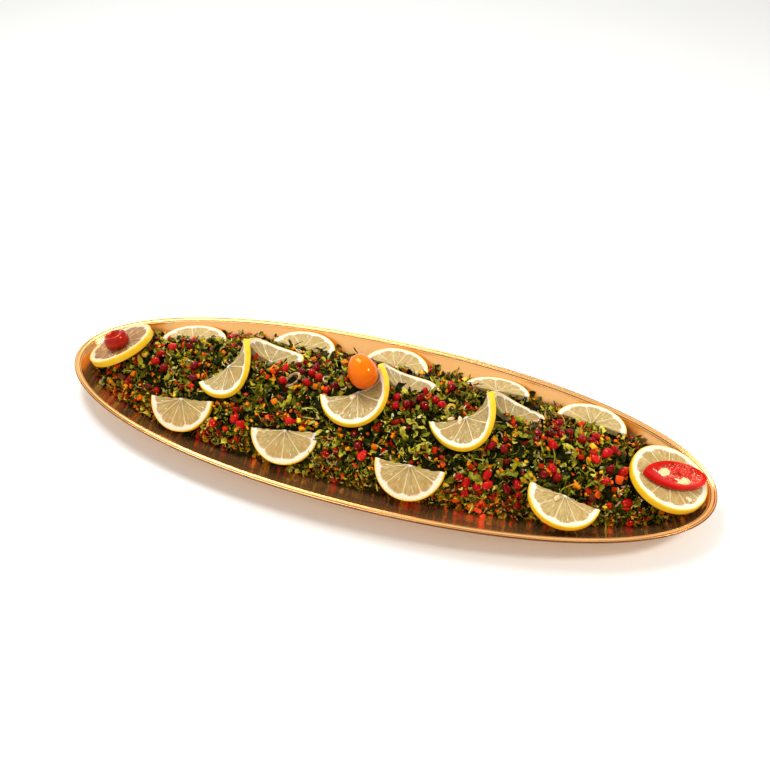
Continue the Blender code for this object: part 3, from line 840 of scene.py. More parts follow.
    def scoop(self, points: Array) -> Array:
        """Make a half's cut edge uneven, drawn back where pulp was torn.

        Args:
            points: Points of the flat slice.

        Returns:
            The moved points.
        """
        if self.whole:
            return points
        share = np.clip(np.abs(points[:, 0]) / self.radius, 0.0, 1.0)
        ragged = LatticeNoise(self.seed + 80).at(points[:, 0] / (3.2 * MM), points[:, 2] * 0.0)
        back = self.torn * (0.45 + 0.55 * ragged) * np.sin(share * math.pi * 0.95)
        fade = np.clip(1 - np.abs(points[:, 1]) / (9 * MM), 0.0, 1.0)
        points[:, 1] += self.side * back * fade
        return points

    def faces(self, steps: int, count: int) -> Faces:
        """Faces between the columns of points, and the cut wall of a half.

        Args:
            steps: Number of columns.
            count: Points in a column.

        Returns:
            Point numbers of each face.
        """
        upper, lower = steps * count, steps * count + 1
        faces: Faces = []
        for step in range(steps if self.whole else steps - 1):
            here, after = step * count, (step + 1) % steps * count
            faces += [[upper, here, after], [lower, after + count - 1, here + count - 1]]
            faces += [[here + row, here + row + 1, after + row + 1, after + row]
                      for row in range(count - 1)]
        if not self.whole:
            for here in (0, (steps - 1) * count):
                faces.append([upper, here, here + count - 1, lower])
                faces += [[here + row, here + row + 1, here + count - 2 - row,
                           here + count - 1 - row] for row in range(self.rings - 1)]
                faces.append([here + row for row in range(self.rings - 1, count - self.rings + 1)])
        return faces


@dataclass
class LemonPiece:
    """A slice on the dish: its name, and its upper face's middle or its tip (mm)."""

    name: str
    x: float
    y: float
    z: float

    def mesh(self, seed: int) -> Mesh:
        """The slice's mesh, with segments that the seed fixes."""
        raise NotImplementedError

    def build(self, finish: Material, seed: int) -> Thing:
        """Make the piece, with segments that the seed fixes."""
        thing = new_object(f"{self.name}_slice", self.mesh(seed))
        return dress(thing, finish, [self.name])


@dataclass
class FlatHalf(LemonPiece):
    """A half slice: its place is the middle of its cut edge. Angles are in degrees."""

    turn: float
    slope: float
    roll: float
    radius: float
    first: float = 0.25
    thick: float = 5.6 * MM

    def frame(self) -> Matrix:
        """The slice's own frame.

        Returns:
            X along the cut edge, Y towards the cut side, Z up from the upper face.
        """
        turn, slope, roll = (math.radians(angle) for angle in (self.turn, self.slope, self.roll))
        along = Vector((math.cos(turn), math.sin(turn), 0))
        outward = Vector((math.sin(turn) * math.cos(slope), -math.cos(turn) * math.cos(slope),
                          -math.sin(slope)))
        up = outward.cross(along)
        along, up = (along * math.cos(roll) + up * math.sin(roll),
                     up * math.cos(roll) - along * math.sin(roll))
        matrix = Matrix((along, -outward, up)).transposed().to_4x4()
        matrix.translation = Vector((self.x, self.y, self.z)) * MM
        return matrix

    def mesh(self, seed: int) -> Mesh:
        """The slice's mesh, with segments that the seed fixes."""
        shape = SliceShape(self.radius * MM, self.thick, 0.0, side=-1, first=self.first, seed=seed)
        return shape.build(place_by(self.frame()))


@dataclass
class EndRound(LemonPiece):
    """A whole slice at an end: its middle, and where to and how far it leans, in degrees."""

    lean_to: float
    lean: float
    radius: float
    first: float = 0.1
    thick: float = 6.6 * MM

    def frame(self) -> Matrix:
        """The slice's own frame.

        Returns:
            Z along its upward normal, X and Y close to the dish's own.
        """
        matrix = (Matrix.Rotation(math.radians(self.lean_to), 4, "Z")
                  @ Matrix.Rotation(math.radians(self.lean), 4, "Y")
                  @ Matrix.Rotation(-math.radians(self.lean_to), 4, "Z"))
        matrix.translation = Vector((self.x, self.y, self.z)) * MM
        return matrix

    def mesh(self, seed: int) -> Mesh:
        """The slice's mesh, with segments that the seed fixes."""
        shape = SliceShape(self.radius * MM, self.thick, 0.0, True, first=self.first, seed=seed)
        return shape.build(place_by(self.frame()))


@dataclass
class BentHalf:
    """One half of a twisted slice, curled along its cut edge and straight across it.

    Angles are in degrees, at the start and at the end of the cut edge; lateness says how late
    the curl comes.
    """

    heading: Pair
    slope: Pair
    cross_heading: Pair
    fall: Pair
    lateness: float
    first: float = 0.3

    SAMPLES = 400

    @staticmethod
    def between(ends: Pair, share: Array) -> Array:
        """Angles in radians between a start and an end in degrees."""
        return np.radians(ends[0] + (ends[1] - ends[0]) * share)

    @staticmethod
    def direction(heading: Array, rise: Array) -> Array:
        """Unit vectors with a heading and a rise, one row for each."""
        return np.column_stack((np.cos(heading) * np.cos(rise), np.sin(heading) * np.cos(rise),
                                np.sin(rise)))

    def cross(self, share: Array) -> Array:
        """Directions from the cut edge towards the rind, in which the half stays straight."""
        return self.direction(self.between(self.cross_heading, share),
                              -self.between(self.fall, share))

    def along(self, share: Array) -> Array:
        """Unit directions of the cut edge at shares of its length."""
        share = np.maximum(share, 0.0)
        return self.direction(self.between(self.heading, share),
                              self.between(self.slope, share ** self.lateness))

    def line(self, start: Array, full: float) -> tuple[Array, Array]:
        """The cut edge as a fine line.

        Args:
            start: Its first point.
            full: Its length.

        Returns:
            Distances along it, and a point for each.
        """
        distance = np.linspace(0.0, full, self.SAMPLES + 1)
        middle = (distance[1:] + distance[:-1]) / 2
        moves = self.along(middle / full) * (full / self.SAMPLES)
        return distance, np.vstack((start, start + np.cumsum(moves, axis=0)))

    def point(self, start: Array, full: float, distance: float) -> Array:
        """The point at a distance along the cut edge, from its first point and its length."""
        where, line = self.line(start, full)
        return np.array([np.interp(distance, where, line[:, axis]) for axis in range(3)])

    def mapping(self, start: Array, radius: float) -> Mapping:
        """How the flat slice bends into place.

        Args:
            start: First point of the cut edge.
            radius: The slice's radius.

        Returns:
            The mapping.
        """
        full = 2 * radius
        where, line = self.line(start, full)

        def bend(points: Array) -> Array:
            """Bend points.

            Args:
                points: Points of the flat frame.

            Returns:
                The same points in place.
            """
            distance = points[:, 0] + radius
            middle = np.column_stack([np.interp(distance, where, line[:, axis]) for axis in range(3)])
            cross = self.cross(distance / full)
            normal = np.cross(self.along(distance / full), cross)
            normal /= np.linalg.norm(normal, axis=1, keepdims=True)
            if self.cross_heading[0] < 0:
                normal = -normal
            return middle + cross * points[:, 1:2] + normal * points[:, 2:3]

        return bend


@dataclass
class TwistedSlice(LemonPiece):
    """A slice cut across but for its rind, twisted so that it stands; its place is its tip."""

    radius: float
    front: BentHalf
    back: BentHalf
    thick: float = 5.4 * MM
    overlap: float = 3 * MM

    def mesh(self, seed: int) -> Mesh:
        """Join the front and back halves at their hinge.

        Args:
            seed: Fixes its segments.

        Returns:
            The mesh.
        """
        radius = self.radius * MM
        tip = np.array((self.x, self.y, self.z)) * MM
        hinge = self.front.point(tip, 2 * radius, 2 * radius - self.overlap)
        parts = []
        for number, (leaf, start) in enumerate(((self.front, tip), (self.back, hinge))):
            shape = SliceShape(radius, self.thick, self.thick / 2, first=leaf.first,
                               seed=seed + number)
            parts.append(shape.build(leaf.mapping(start, radius)))
        return join_meshes(parts)


def join_meshes(parts: Sequence[Mesh]) -> Mesh:
    """Put several meshes, with the same attributes, in one.

    Args:
        parts: The meshes, which are removed.

    Returns:
        The joined mesh.
    """
    shape = bmesh.new()
    for part in parts:
        shape.from_mesh(part)
    joined = bpy.data.meshes.new("joined")
    shape.to_mesh(joined)
    shape.free()
    for part in parts:
        bpy.data.meshes.remove(part)
    return joined


FRONT_HALVES = tuple(FlatHalf(*row) for row in (
    ("lemon_front_1", -171.0, -37.6, 32.4, 9, 40, 9, 30.8, 0.10),
    ("lemon_front_2", -65.6, -45.6, 34.2, 12, 36, 4, 30.8, 0.35),
    ("lemon_front_3", 49.6, -48.5, 32.8, 2, 38, 2, 30.8, 0.22),
    ("lemon_front_4", 180.0, -37.2, 29.4, -7, 4, -6, 30.4, 0.40),
))
BACK_HALVES = tuple(FlatHalf(*row) for row in (
    ("lemon_back_1", -196.5, 36.1, 32.6, 193, 13.5, 0, 31.9, 0.15),
    ("lemon_back_2", -90.5, 57.5, 33.4, 177, 10, 0, 31.5, 0.30),
    ("lemon_back_3", 1.8, 61.6, 32.4, 172, 8, 0, 31.3, 0.05),
    ("lemon_back_4", 100.0, 58.6, 34.7, 183, 21, 0, 30.3, 0.45),
    ("lemon_back_5", 188.3, 42.7, 36.5, 174, 12, 0, 31.0, 0.25),
))
ROUND_LEFT = EndRound("lemon_round_left", -258.4, 6.2, 38.3, 167.5, 24.5, 32.0)
ROUND_RIGHT = EndRound("lemon_round_right", 259.1, 3.0, 36.7, 4, 12.5, 33.0, 0.35)
TWISTS = (
    TwistedSlice("lemon_twist_1", -158.8, -23.1, 40.4, 31.5,
                 BentHalf((39, 80), (8, 63), (-49, -58), (-2, 4), 2.5),
                 BentHalf((-22, 34), (-84, 12), (98, 98), (16, 16), 0.5)),
    TwistedSlice("lemon_twist_2", -44.8, -11.3, 50.2, 34.0,
                 BentHalf((3, 76), (-2, 68), (-72, -50), (10, 0), 2.6),
                 BentHalf((-15, 29), (-95, 20), (110, 110), (14, 14), 0.6)),
    TwistedSlice("lemon_twist_3", 54.4, -8.8, 45.6, 33.0,
                 BentHalf((3, 70), (5, 74), (-65, -64), (2, 0), 2.9),
                 BentHalf((-7, 9), (-95, 26), (82, 82), (20, 20), 0.75)),
)


# ---- toppings ------------------------------------------------------------------------------
@dataclass
class PlumTomato:
    """A small orange plum tomato leaning on the middle twist."""

    length: float = 32 * MM
    width: float = 25.8 * MM
    place: Place = (-11.8, 8.4, 71.7)
    axis: Place = (-0.55, 0.5, 0.67)

    def build(self, finish: Material) -> Thing:
        """Make the piece.

        Args:
            finish: Its material.

        Returns:
            The piece.
        """
        shape = bmesh.new()
        bmesh.ops.create_uvsphere(shape, u_segments=56, v_segments=36, radius=1.0)
        matrix = Vector(self.axis).to_track_quat("Z", "Y").to_matrix().to_4x4()
        matrix.translation = Vector(self.place) * MM
        for vert in shape.verts:
            share = vert.co.z
            angle = math.atan2(vert.co.y, vert.co.x)
            girth = self.width / 2 * (1 - 0.10 * share) * (1 + 0.008 * math.cos(3 * angle))
            dimple = 0.5 * MM * math.exp(-((1 - abs(share)) / 0.02))
            vert.co = (vert.co.x * girth, vert.co.y * girth,
                       share * self.length / 2 - math.copysign(dimple, share))
        shape.transform(matrix)
        points, faces = shape_of(shape)
        mesh = mesh_of(points, faces)
        # 0 at the top, 1 at the lowest point: how far the skin is painted darker as shade
        add_values(mesh, "painted_shade_low", (points[:, 2].max() - points[:, 2]) / np.ptp(points[:, 2]))
        return dress(new_object("orange_plum_tomato", mesh), finish, ["plum_tomato"])


@dataclass(frozen=True)
class ChilliFinish:
    """Red chilli flesh: a glossy wall, and a core speckled with pale fibres."""

    wall: Colour = (0.62, 0.006, 0.004)
    deep: Colour = (0.46, 0.003, 0.003)
    core: Colour = (0.62, 0.025, 0.014)
    fibre: Colour = (0.92, 0.50, 0.36)

    def build(self) -> Material:
        """Make the material.

        Returns:
            The material.
        """
        graph = Graph("red chilli")
        clouds, fibres = graph.noise(90.0, 3.0), graph.noise(900.0, 2.0)
        wall = graph.mix(graph.span(clouds, 0.3, 0.7), self.wall, self.deep)
        core = graph.mix(graph.span(fibres, 0.52, 0.66), self.core, self.fibre)
        graph.set(Base_Color=graph.mix(graph.value("core"), wall, core), Roughness=0.12,
                  Specular_IOR_Level=0.5, Specular_Tint=(1.0, 0.12, 0.08))
        graph.bump(graph.sum(fibres, graph.value("core"), "MULTIPLY"), 0.5 * MM)
        return graph.material


# x and y in mm, then length, width and height in mm, and turn in degrees
Lump = tuple[float, float, float, float, float, float]


@dataclass
class ChilliSlice:
    """A slanting slice of red chilli: wall, torn core and openings on to the lemon below."""

    length: float = 56.5 * MM
    width: float = 27.5 * MM
    thick: float = 5.4 * MM
    hollow: Pair = (41 * MM, 21.5 * MM)
    hollow_place: Pair = (3.6 * MM, 0.6 * MM)
    turn: float = 19
    place: Place = (3.0, 0.2, 0.35)
    steps: int = 96
    core_lumps: tuple[Lump, ...] = (
        (1.5, 4.2, 10, 6.5, 3.4, 30), (7.5, 3.4, 9, 7, 4.0, -20), (13.0, 5.0, 8, 5.5, 3.2, 10),
        (11.0, 0.2, 7, 5, 3.2, 40), (-4.5, -4.6, 9, 5.0, 2.8, -25), (-0.8, -6.4, 5, 3.4, 2.4, 0))
    openings: tuple[Lump, ...] = (
        (-9.8, 2.2, 12.5, 8.6, 2.2, 20), (3.2, -6.6, 15.0, 6.2, 2.4, -8),
        (8.4, -4.6, 8.0, 8.0, 2.4, 10))
    # pale ribs in a row along the hollow's inner edge: partly the chilli's ribs, partly painted
    # highlights
    ribs_and_glints: tuple[Lump, ...] = (
        (-19.6, 1.8, 1.2, 3.0, 1.3, 30), (-17.8, 0.4, 1.2, 3.4, 1.3, 20),
        (-16.0, -1.2, 1.1, 3.0, 1.3, 15), (-14.2, -2.8, 1.1, 2.8, 1.3, 10),
        (-12.4, -4.2, 1.0, 2.4, 1.2, 10))

    def outline(self, length: float, width: float) -> Array:
        """Points of a pointed oval, blunter at its right-hand end.

        Args:
            length: Its length.
            width: Its width.

        Returns:
            One row of x and y for each point.
        """
        angle = np.linspace(0, 2 * math.pi, self.steps, endpoint=False)
        blunt = np.where(np.cos(angle) > 0, 0.12, 0.45)
        across = np.sin(angle) * np.abs(np.sin(angle)) ** blunt * width / 2
        return np.column_stack((np.cos(angle) * length / 2, across))

    def frame(self) -> Matrix:
        """The slice's place on the right-hand lemon slice."""
        return (ROUND_RIGHT.frame() @ Matrix.Translation(Vector(self.place) * MM)
                @ Matrix.Rotation(math.radians(self.turn), 4, "Z"))

    def build(self, flesh: Material, pale: Material, white: Material) -> None:
        """Make the wall and hollow, and what shows in it as pieces of their own.

        Args:
            flesh: Material of the wall and core.
            pale: Material of the lemon that shows through.
            white: Material of the pale ribs, which also paint highlights along the hollow's edge.
        """
        levels = ((-8, -8, 0.0), (-2.0, -2.0, 0.0), (-0.5, -0.5, 0.2), (0.0, 0.0, 0.5),
                  (-0.4, -0.4, 0.8), (-1.6, -1.6, 1.0))
        rings = [(self.outline(self.length + long * MM, self.width + wide * MM),
                  self.thick * height, 0.0) for long, wide, height in levels]
        for shrink, height, core in ((0.0, 0.98, 0.1), (1.6, 0.84, 0.5), (3.4, 0.56, 1.0),
                                     (8.0, 0.50, 1.0), (14.0, 0.52, 1.0), (19.0, 0.5, 1.0)):
            inner = self.outline(self.hollow[0] - shrink * MM,
                                 self.hollow[1] - shrink * MM) + self.hollow_place
            rings.append((inner, self.thick * height, core))
        ripple = LatticeNoise(8)
        rows = []
        for outline, height, core in rings:
            bumps = 0.3 * MM * core * ripple.at(outline[:, 0] / (2.2 * MM),
                                                outline[:, 1] / (1.6 * MM))
            rows.append(np.column_stack((outline, height + bumps)))
        mesh = loft(rows, place_by(self.frame()))
        add_values(mesh, "core", np.repeat([core for _, _, core in rings], self.steps))
        dress(new_object("red_chilli_slice", mesh), flesh, ["chilli_slice"])
        floor = self.thick * 0.54
        self.build_lumps("chilli_core", self.core_lumps, floor, flesh)
        self.build_lumps("lemon_through_chilli", self.openings, floor, pale)
        self.build_lumps("chilli_ribs", self.ribs_and_glints, self.thick * 0.92, white)

    def build_lumps(self, name: str, lumps: Sequence[Lump], level: float, finish: Material) -> None:
        """Make rounded lumps that lie in the hollow.

        Args:
            name: The piece's name.
            lumps: Where they lie and how large they are.
            level: Height of their middle above the slice's underside.
            finish: Their material.
        """
        parts = []
        draw = random.Random(6)
        for x, y, *size, turn in lumps:
            points, faces = bean_shape(draw, 14, 8, [value * MM for value in size])
            matrix = (self.frame() @ Matrix.Translation((x * MM, y * MM, level))
                      @ Matrix.Rotation(math.radians(turn), 4, "Z"))
            parts.append(mesh_of(place_by(matrix)(points), faces))
        mesh = join_meshes(parts)
        turn_outwards(mesh)
        add_values(mesh, "core", np.full(len(mesh.vertices), 0.35))
        dress(new_object(name, mesh), finish)


@dataclass
class PepperPiece:
    """The thick red pepper chunk with a folded hollow, on the left-hand slice."""

    width: float = 26.5 * MM
    height: float = 13 * MM
    oval: float = 0.92           # its breadth over its width
    ripple: float = 0.06         # of its upper half, as a share of its height
    sides: int = 10
    place: Place = (5.4, -7.2, 0.35)

    def build(self, finish: Material) -> None:
        """Make the piece.

        Args:
            finish: Its material.
        """
        draw = random.Random(3)
        radii = self.width / 2 * np.array([draw.uniform(0.9, 1.06) for _ in range(self.sides)])
        levels = ((0.60, 0.0), (0.86, 0.03), (1.02, 0.26), (1.02, 0.72), (0.90, 1.0),
                  (0.70, 1.04), (0.54, 0.88), (0.36, 0.60), (0.18, 0.58))
        angle = 2 * math.pi * np.arange(self.sides) / self.sides
        rings = [np.column_stack((
            radii * share * np.cos(angle), radii * share * np.sin(angle) * self.oval,
            self.height * (height + self.ripple * np.sin(3 * angle) * (height > 0.5))))
            for share, height in levels]
        matrix = ROUND_LEFT.frame() @ Matrix.Translation(Vector(self.place) * MM)
        thing = new_object("red_pepper_chunk", loft(rings, place_by(matrix)))
        dress(subdivide(thing, 3), finish, ["pepper_piece"])


# ---- heap ----------------------------------------------------------------------------------
@dataclass
class Heap:
    """The heap of salad: its form, its dark core, and the ground on which loose pieces lie."""

    platter: Platter
    garnish: BVHTree
    half_length: float = 286 * MM
    far_width: float = 82 * MM   # from the middle line to the far foot
    near_width: float = 69.5 * MM
    middle_y: float = 7 * MM
    foot: float = 3 * MM
    rise: float = 45 * MM
    far_oval: float = 2.3        # powers of the foot's outline
    near_oval_left: float = 2.15
    near_oval_right: float = 1.85
    far_dome: float = 0.9        # powers of the slopes: a lower one is fuller
    near_dome: float = 0.6
    mound: Pair = (-15 * MM, 7 * MM)
    mound_radius: float = 30 * MM
    mound_rise: float = 14 * MM
    bump_height: float = 2.2 * MM
    bump_width: float = 15 * MM
    columns: int = 380
    rows: int = 110
    rough: float = 2.5 * MM      # depth of the core's relief
    clump: float = 1.5 * MM      # how much higher or lower the loose pieces lie in clumps
    foot_share: float = 0.16     # of the loose pieces, put on the steep near foot
    overdraw: int = 6            # places drawn for each that is wanted
    rim: float = 12 * MM         # of the platter, kept free of loose pieces
    steepest: float = 2.6        # surface for each area seen from above, where all places stay
    clearance: float = 0.7 * MM  # between the core and what lies on it
    clump_noise: LatticeNoise = field(default_factory=lambda: LatticeNoise(33))

    def oval_share(self, x: Array, power: Array | float) -> Array:
        """Share of its full width that an oval as long as the heap has at x."""
        along = np.minimum(np.abs(x) / self.half_length, 1.0)
        return (1 - along ** power) ** (1 / power)

    def width_at(self, x: Array, near: Array) -> Array:
        """Distance at x from the heap's middle line to its near or far foot."""
        power = np.where(x < 0, self.near_oval_left, self.near_oval_right)
        return np.where(near, self.near_width * self.oval_share(x, power),
                        self.far_width * self.oval_share(x, self.far_oval))

    def smooth_height(self, x: Array, y: Array) -> Array:
        """Height of the heap's smooth surface.

        Args:
            x: Places along the heap.
            y: Places across it.

        Returns:
            Heights.
        """
        near = y < self.middle_y
        width = np.maximum(self.width_at(x, near), 1e-6)
        across = np.minimum(np.abs(y - self.middle_y) / width, 1.0)
        dome = (1 - across * across) ** np.where(near, self.near_dome, self.far_dome)
        away = np.hypot(x - self.mound[0], y - self.mound[1]) / self.mound_radius
        mound = self.mound_rise * (1 - np.minimum(away, 1.0) ** 2) ** 2
        crest = self.rise * self.oval_share(x, self.far_oval) ** self.far_dome
        return self.foot + crest * dome + mound

    def lumps(self, x: Array, y: Array) -> Array:
        """Low lumps of the heap's surface.

        Args:
            x: Places along the heap.
            y: Places across it.

        Returns:
            Heights to add.
        """
        raised = []
        for place_x, place_y in zip(x.ravel(), y.ravel()):
            spot = Vector((place_x, place_y, 0.0)) / self.bump_width
            raised.append(noise.noise(spot) + 0.5 * noise.noise(spot * 2.1 + Vector((7, 3, 1))))
        return self.bump_height * np.array(raised).reshape(x.shape)

    def clumps(self, x: Array, y: Array) -> Array:
        """Where loose pieces lie thick, with dark gaps between, from -1 to 1."""
        return (0.7 * self.clump_noise.at(x / (7.5 * MM), y / (7.5 * MM), 5)
                + 0.6 * self.clump_noise.at(x / (3.6 * MM), y / (3.6 * MM), 7))

    def prepare(self) -> None:
        """Work out the ground: a grid of heights below the garnish and above the platter."""
        turn = np.linspace(-1, 1, self.columns)
        x = self.half_length * np.sin(turn * math.pi / 2) * 0.995
        share = np.linspace(-1, 1, self.rows)
        low, high = self.edges(x)
        self.grid_x = np.repeat(x[:, None], self.rows, axis=1)
        middle, half = (low + high) / 2, (high - low) / 2
        self.grid_y = middle[:, None] + half[:, None] * np.sin(share * math.pi / 2)[None, :]
        inner = 1 - np.abs(share)[None, :] ** 6
        smooth = self.smooth_height(self.grid_x, self.grid_y)
        self.ground = smooth + self.lumps(self.grid_x, self.grid_y) * inner
        self.base = self.platter.height_at(self.grid_x, self.grid_y) + 0.25 * MM
        self.ground = np.maximum(self.ground, self.base)

    def edges(self, x: Array) -> tuple[Array, Array]:
        """Where the heap's surface meets the platter, on both sides.

        Args:
            x: Places along the heap.

        Returns:
            Lowest and highest y at each x.
        """
        share = np.tile(np.linspace(-1, 1, 161), (len(x), 1))
        long = np.repeat(x[:, None], share.shape[1], axis=1)
        wide = self.middle_y + self.width_at(long, share < 0) * share
        above = self.smooth_height(long, wide) > self.platter.height_at(long, wide) + 0.3 * MM
        first = np.argmax(above, axis=1)
        last = share.shape[1] - 1 - np.argmax(above[:, ::-1], axis=1)
        rows = np.arange(len(x))
        return wide[rows, first], wide[rows, last]

    def build_core(self, finish: Material) -> None:
        """Make the dark core as one closed mesh, rough on top and shaped by the platter below.

        Args:
            finish: Its material.
        """
        relief = LatticeNoise(21)
        coarse = relief.at(self.grid_x / (6.5 * MM), self.grid_y / (6.5 * MM), 3)
        fine = relief.at(self.grid_x / (2.7 * MM), self.grid_y / (2.7 * MM), 9)
        share = np.abs(np.linspace(-1, 1, self.rows))[None, :]
        top = self.ground + self.rough * (0.75 * coarse + 0.5 * fine - 0.9) * (1 - share ** 10)
        limit = np.full(top.shape, 1.0)
        up = Vector((0, 0, 1))
        for index in np.ndindex(*top.shape):
            start = Vector((self.grid_x[index], self.grid_y[index], -0.05))
            hit = self.garnish.ray_cast(start, up)[0]
            if hit:
                limit[index] = hit.z - self.clearance
        spread = limit.copy()
        for shift in (-1, 1):
            spread = np.minimum(spread, np.roll(limit, shift, axis=0))
            spread = np.minimum(spread, np.roll(limit, shift, axis=1))
        top = np.maximum(np.minimum(top, spread), self.base + 0.1 * MM)
        rows, count = self.rows, self.columns * self.rows
        upper, lower = (np.column_stack((self.grid_x.ravel(), self.grid_y.ravel(), height.ravel()))
                        for height in (top, self.base))
        faces: Faces = []
        for here in range(count - rows):
            if (here + 1) % rows:
                corners = [here, here + rows, here + rows + 1, here + 1]
                faces += [corners, [count + corner for corner in reversed(corners)]]
        border = [*range(rows - 1), *range(rows - 1, count, rows),
                  *range(count - 2, count - rows, -1), *range(count - rows, 0, -rows)]
        for here, after in zip(border, border[1:] + border[:1]):
            faces.append([here, after, count + after, count + here])
        mesh = mesh_of(np.vstack((upper, lower)), faces)
        turn_outwards(mesh)
        dress(new_object("salad_core", mesh), finish, ["salad"])

    def ground_at(self, x: Array, y: Array) -> Array:
        """Height of the ground on which loose pieces lie."""
        height = self.smooth_height(x, y) + self.lumps(x, y)
        return np.maximum(height, self.platter.height_at(x, y))

    def places(self, count: int, seed: int, reach: Pair, crowd: Crowd | None) -> tuple[Array, Array]:
        """Random places evenly over the heap's surface.

        Args:
            count: How many to draw.
            seed: Fixes the draw.
            reach: Lowest and highest distance above the ground.
            crowd: Share of the places kept, from x and y, or None to keep all.

        Returns:
            Points and their upward normals.
        """
        draw = np.random.default_rng(seed)
        x = draw.uniform(-1, 1, count * self.overdraw) * self.half_length
        share = draw.uniform(-1, 1, len(x))
        y = self.middle_y + share * self.far_width
        at_foot = draw.uniform(0, 1, len(x)) < self.foot_share
        y[at_foot] = self.middle_y - (self.width_at(x, np.full(len(x), True))
                                      * draw.uniform(0.86, 1.0, len(x)))[at_foot]
        keep = np.abs(y - self.middle_y) < self.width_at(x, y < self.middle_y)
        keep &= self.platter.inset_at(x, y) > self.rim
        x, y, at_foot = x[keep], y[keep], at_foot[keep]
        step = 1.5 * MM
        rise_x = (self.ground_at(x + step, y) - self.ground_at(x - step, y)) / (2 * step)
        rise_y = (self.ground_at(x, y + step) - self.ground_at(x, y - step)) / (2 * step)
        normal = np.column_stack((-rise_x, -rise_y, np.ones_like(x)))
        length = np.linalg.norm(normal, axis=1)
        chance = np.minimum(length, self.steepest) / self.steepest
        chance = chance * np.clip(0.72 + 0.85 * self.clumps(x, y) + at_foot, 0.08, 1.0)
        if crowd:
            chance = chance * crowd(x, y)
        keep = draw.uniform(0, 1, len(x)) < chance
        x, y, normal = x[keep][:count], y[keep][:count], (normal / length[:, None])[keep][:count]
        lift = draw.uniform(reach[0], reach[1], len(x)) + self.clump * self.clumps(x, y)
        points = np.column_stack((x, y, self.ground_at(x, y))) + normal * lift[:, None]
        return points, normal


# ---- loose pieces --------------------------------------------------------------------------
def lens(outline: list[Place], over: float, under: float) -> Shape:
    """A thin lens within an outline.

    Args:
        outline: Its points, in order.
        over: How far its middle swells upwards.
        under: And downwards.

    Returns:
        Points and faces.
    """
    faces: Faces = []
    for side in range(len(outline)):
        here, after = 2 + side, 2 + (side + 1) % len(outline)
        faces += [[0, here, after], [1, after, here]]
    return np.array([(0.0, 0.0, over), (0.0, 0.0, -under), *outline]), faces


def flake_shape(draw: random.Random) -> Shape:
    """A torn bit of leaf about 5 mm long: a thin, curled lens with a ragged outline.

    Args:
        draw: Random draw.

    Returns:
        Points and faces.
    """
    length, width = draw.uniform(5.0, 8.5) * MM, draw.uniform(2.6, 4.6) * MM
    curl, phase = draw.uniform(0.4, 1.3) * MM, draw.uniform(0, 6.28)
    bow, outline = draw.uniform(-0.9, 1.6) * MM, []
    for side in range(8):
        angle = 2 * math.pi * side / 8
        ragged = draw.uniform(0.6, 1.15)
        outline.append((math.cos(angle) * length / 2 * ragged, math.sin(angle) * width / 2 * ragged,
                        curl * math.sin(2 * angle + phase) + bow * math.cos(angle) ** 2))
    return lens(outline, 0.16 * MM, 0.16 * MM)


def lobed_shape(draw: random.Random) -> Shape:
    """A parsley leaf about 12 mm long with toothed lobes: a thin, wavy lens.

    Args:
        draw: Random draw.

    Returns:
        Points and faces.
    """
    sides, outline = 26, []
    length, width = draw.uniform(9.5, 13.5) * MM, draw.uniform(7.0, 10.0) * MM
    wave, phase = draw.uniform(0.6, 1.5) * MM, draw.uniform(0, 6.28)
    for side in range(sides):
        angle = 2 * math.pi * side / sides
        lobe = 0.68 + 0.32 * abs(math.cos(1.5 * angle))
        tooth = 1.0 if side % 2 == 0 else 0.84
        reach = lobe * tooth * draw.uniform(0.9, 1.05)
        outline.append((math.cos(angle) * length / 2 * reach, math.sin(angle) * width / 2 * reach,
                        wave * math.sin(3 * angle + phase) * reach))
    return lens(outline, 0.2 * MM, 0.15 * MM)


def strip_shape(draw: random.Random, low: float, high: float, wide: float) -> Shape:
    """A bent strip with three sides, such as a shred of stem.

    Args:
        draw: Random draw.
        low: Shortest length.
        high: Longest length.
        wide: Its width.

    Returns:
        Points and faces.
    """
    length, bow = draw.uniform(low, high), draw.uniform(-0.16, 0.16)
    twist, rings = draw.uniform(-0.6, 0.6), 4
    points = []
    for ring in range(rings):
        share = ring / (rings - 1)
        taper = 1.0 - 0.5 * abs(2 * share - 1) ** 2
        middle = ((share - 0.5) * length, bow * length * 4 * share * (1 - share))
        for corner in range(3):
            angle = 2 * math.pi * corner / 3 + twist * share
            points.append((middle[0], middle[1] + math.cos(angle) * wide / 2 * taper,
                           math.sin(angle) * wide / 3.2 * taper))
    faces, last = [], (rings - 1) * 3
    for low in range(0, last, 3):
        for corner in range(3):
            here, after = low + corner, low + (corner + 1) % 3
            faces += [[here, after, after + 3], [here, after + 3, here + 3]]
    faces += [[2, 1, 0], [last, last + 1, last + 2]]
    return np.array(points), faces


def shred_shape(draw: random.Random) -> Shape:
    """A shred of stem or herb, 5 to 12 mm long."""
    return strip_shape(draw, 5 * MM, 12 * MM, 1.2 * MM)


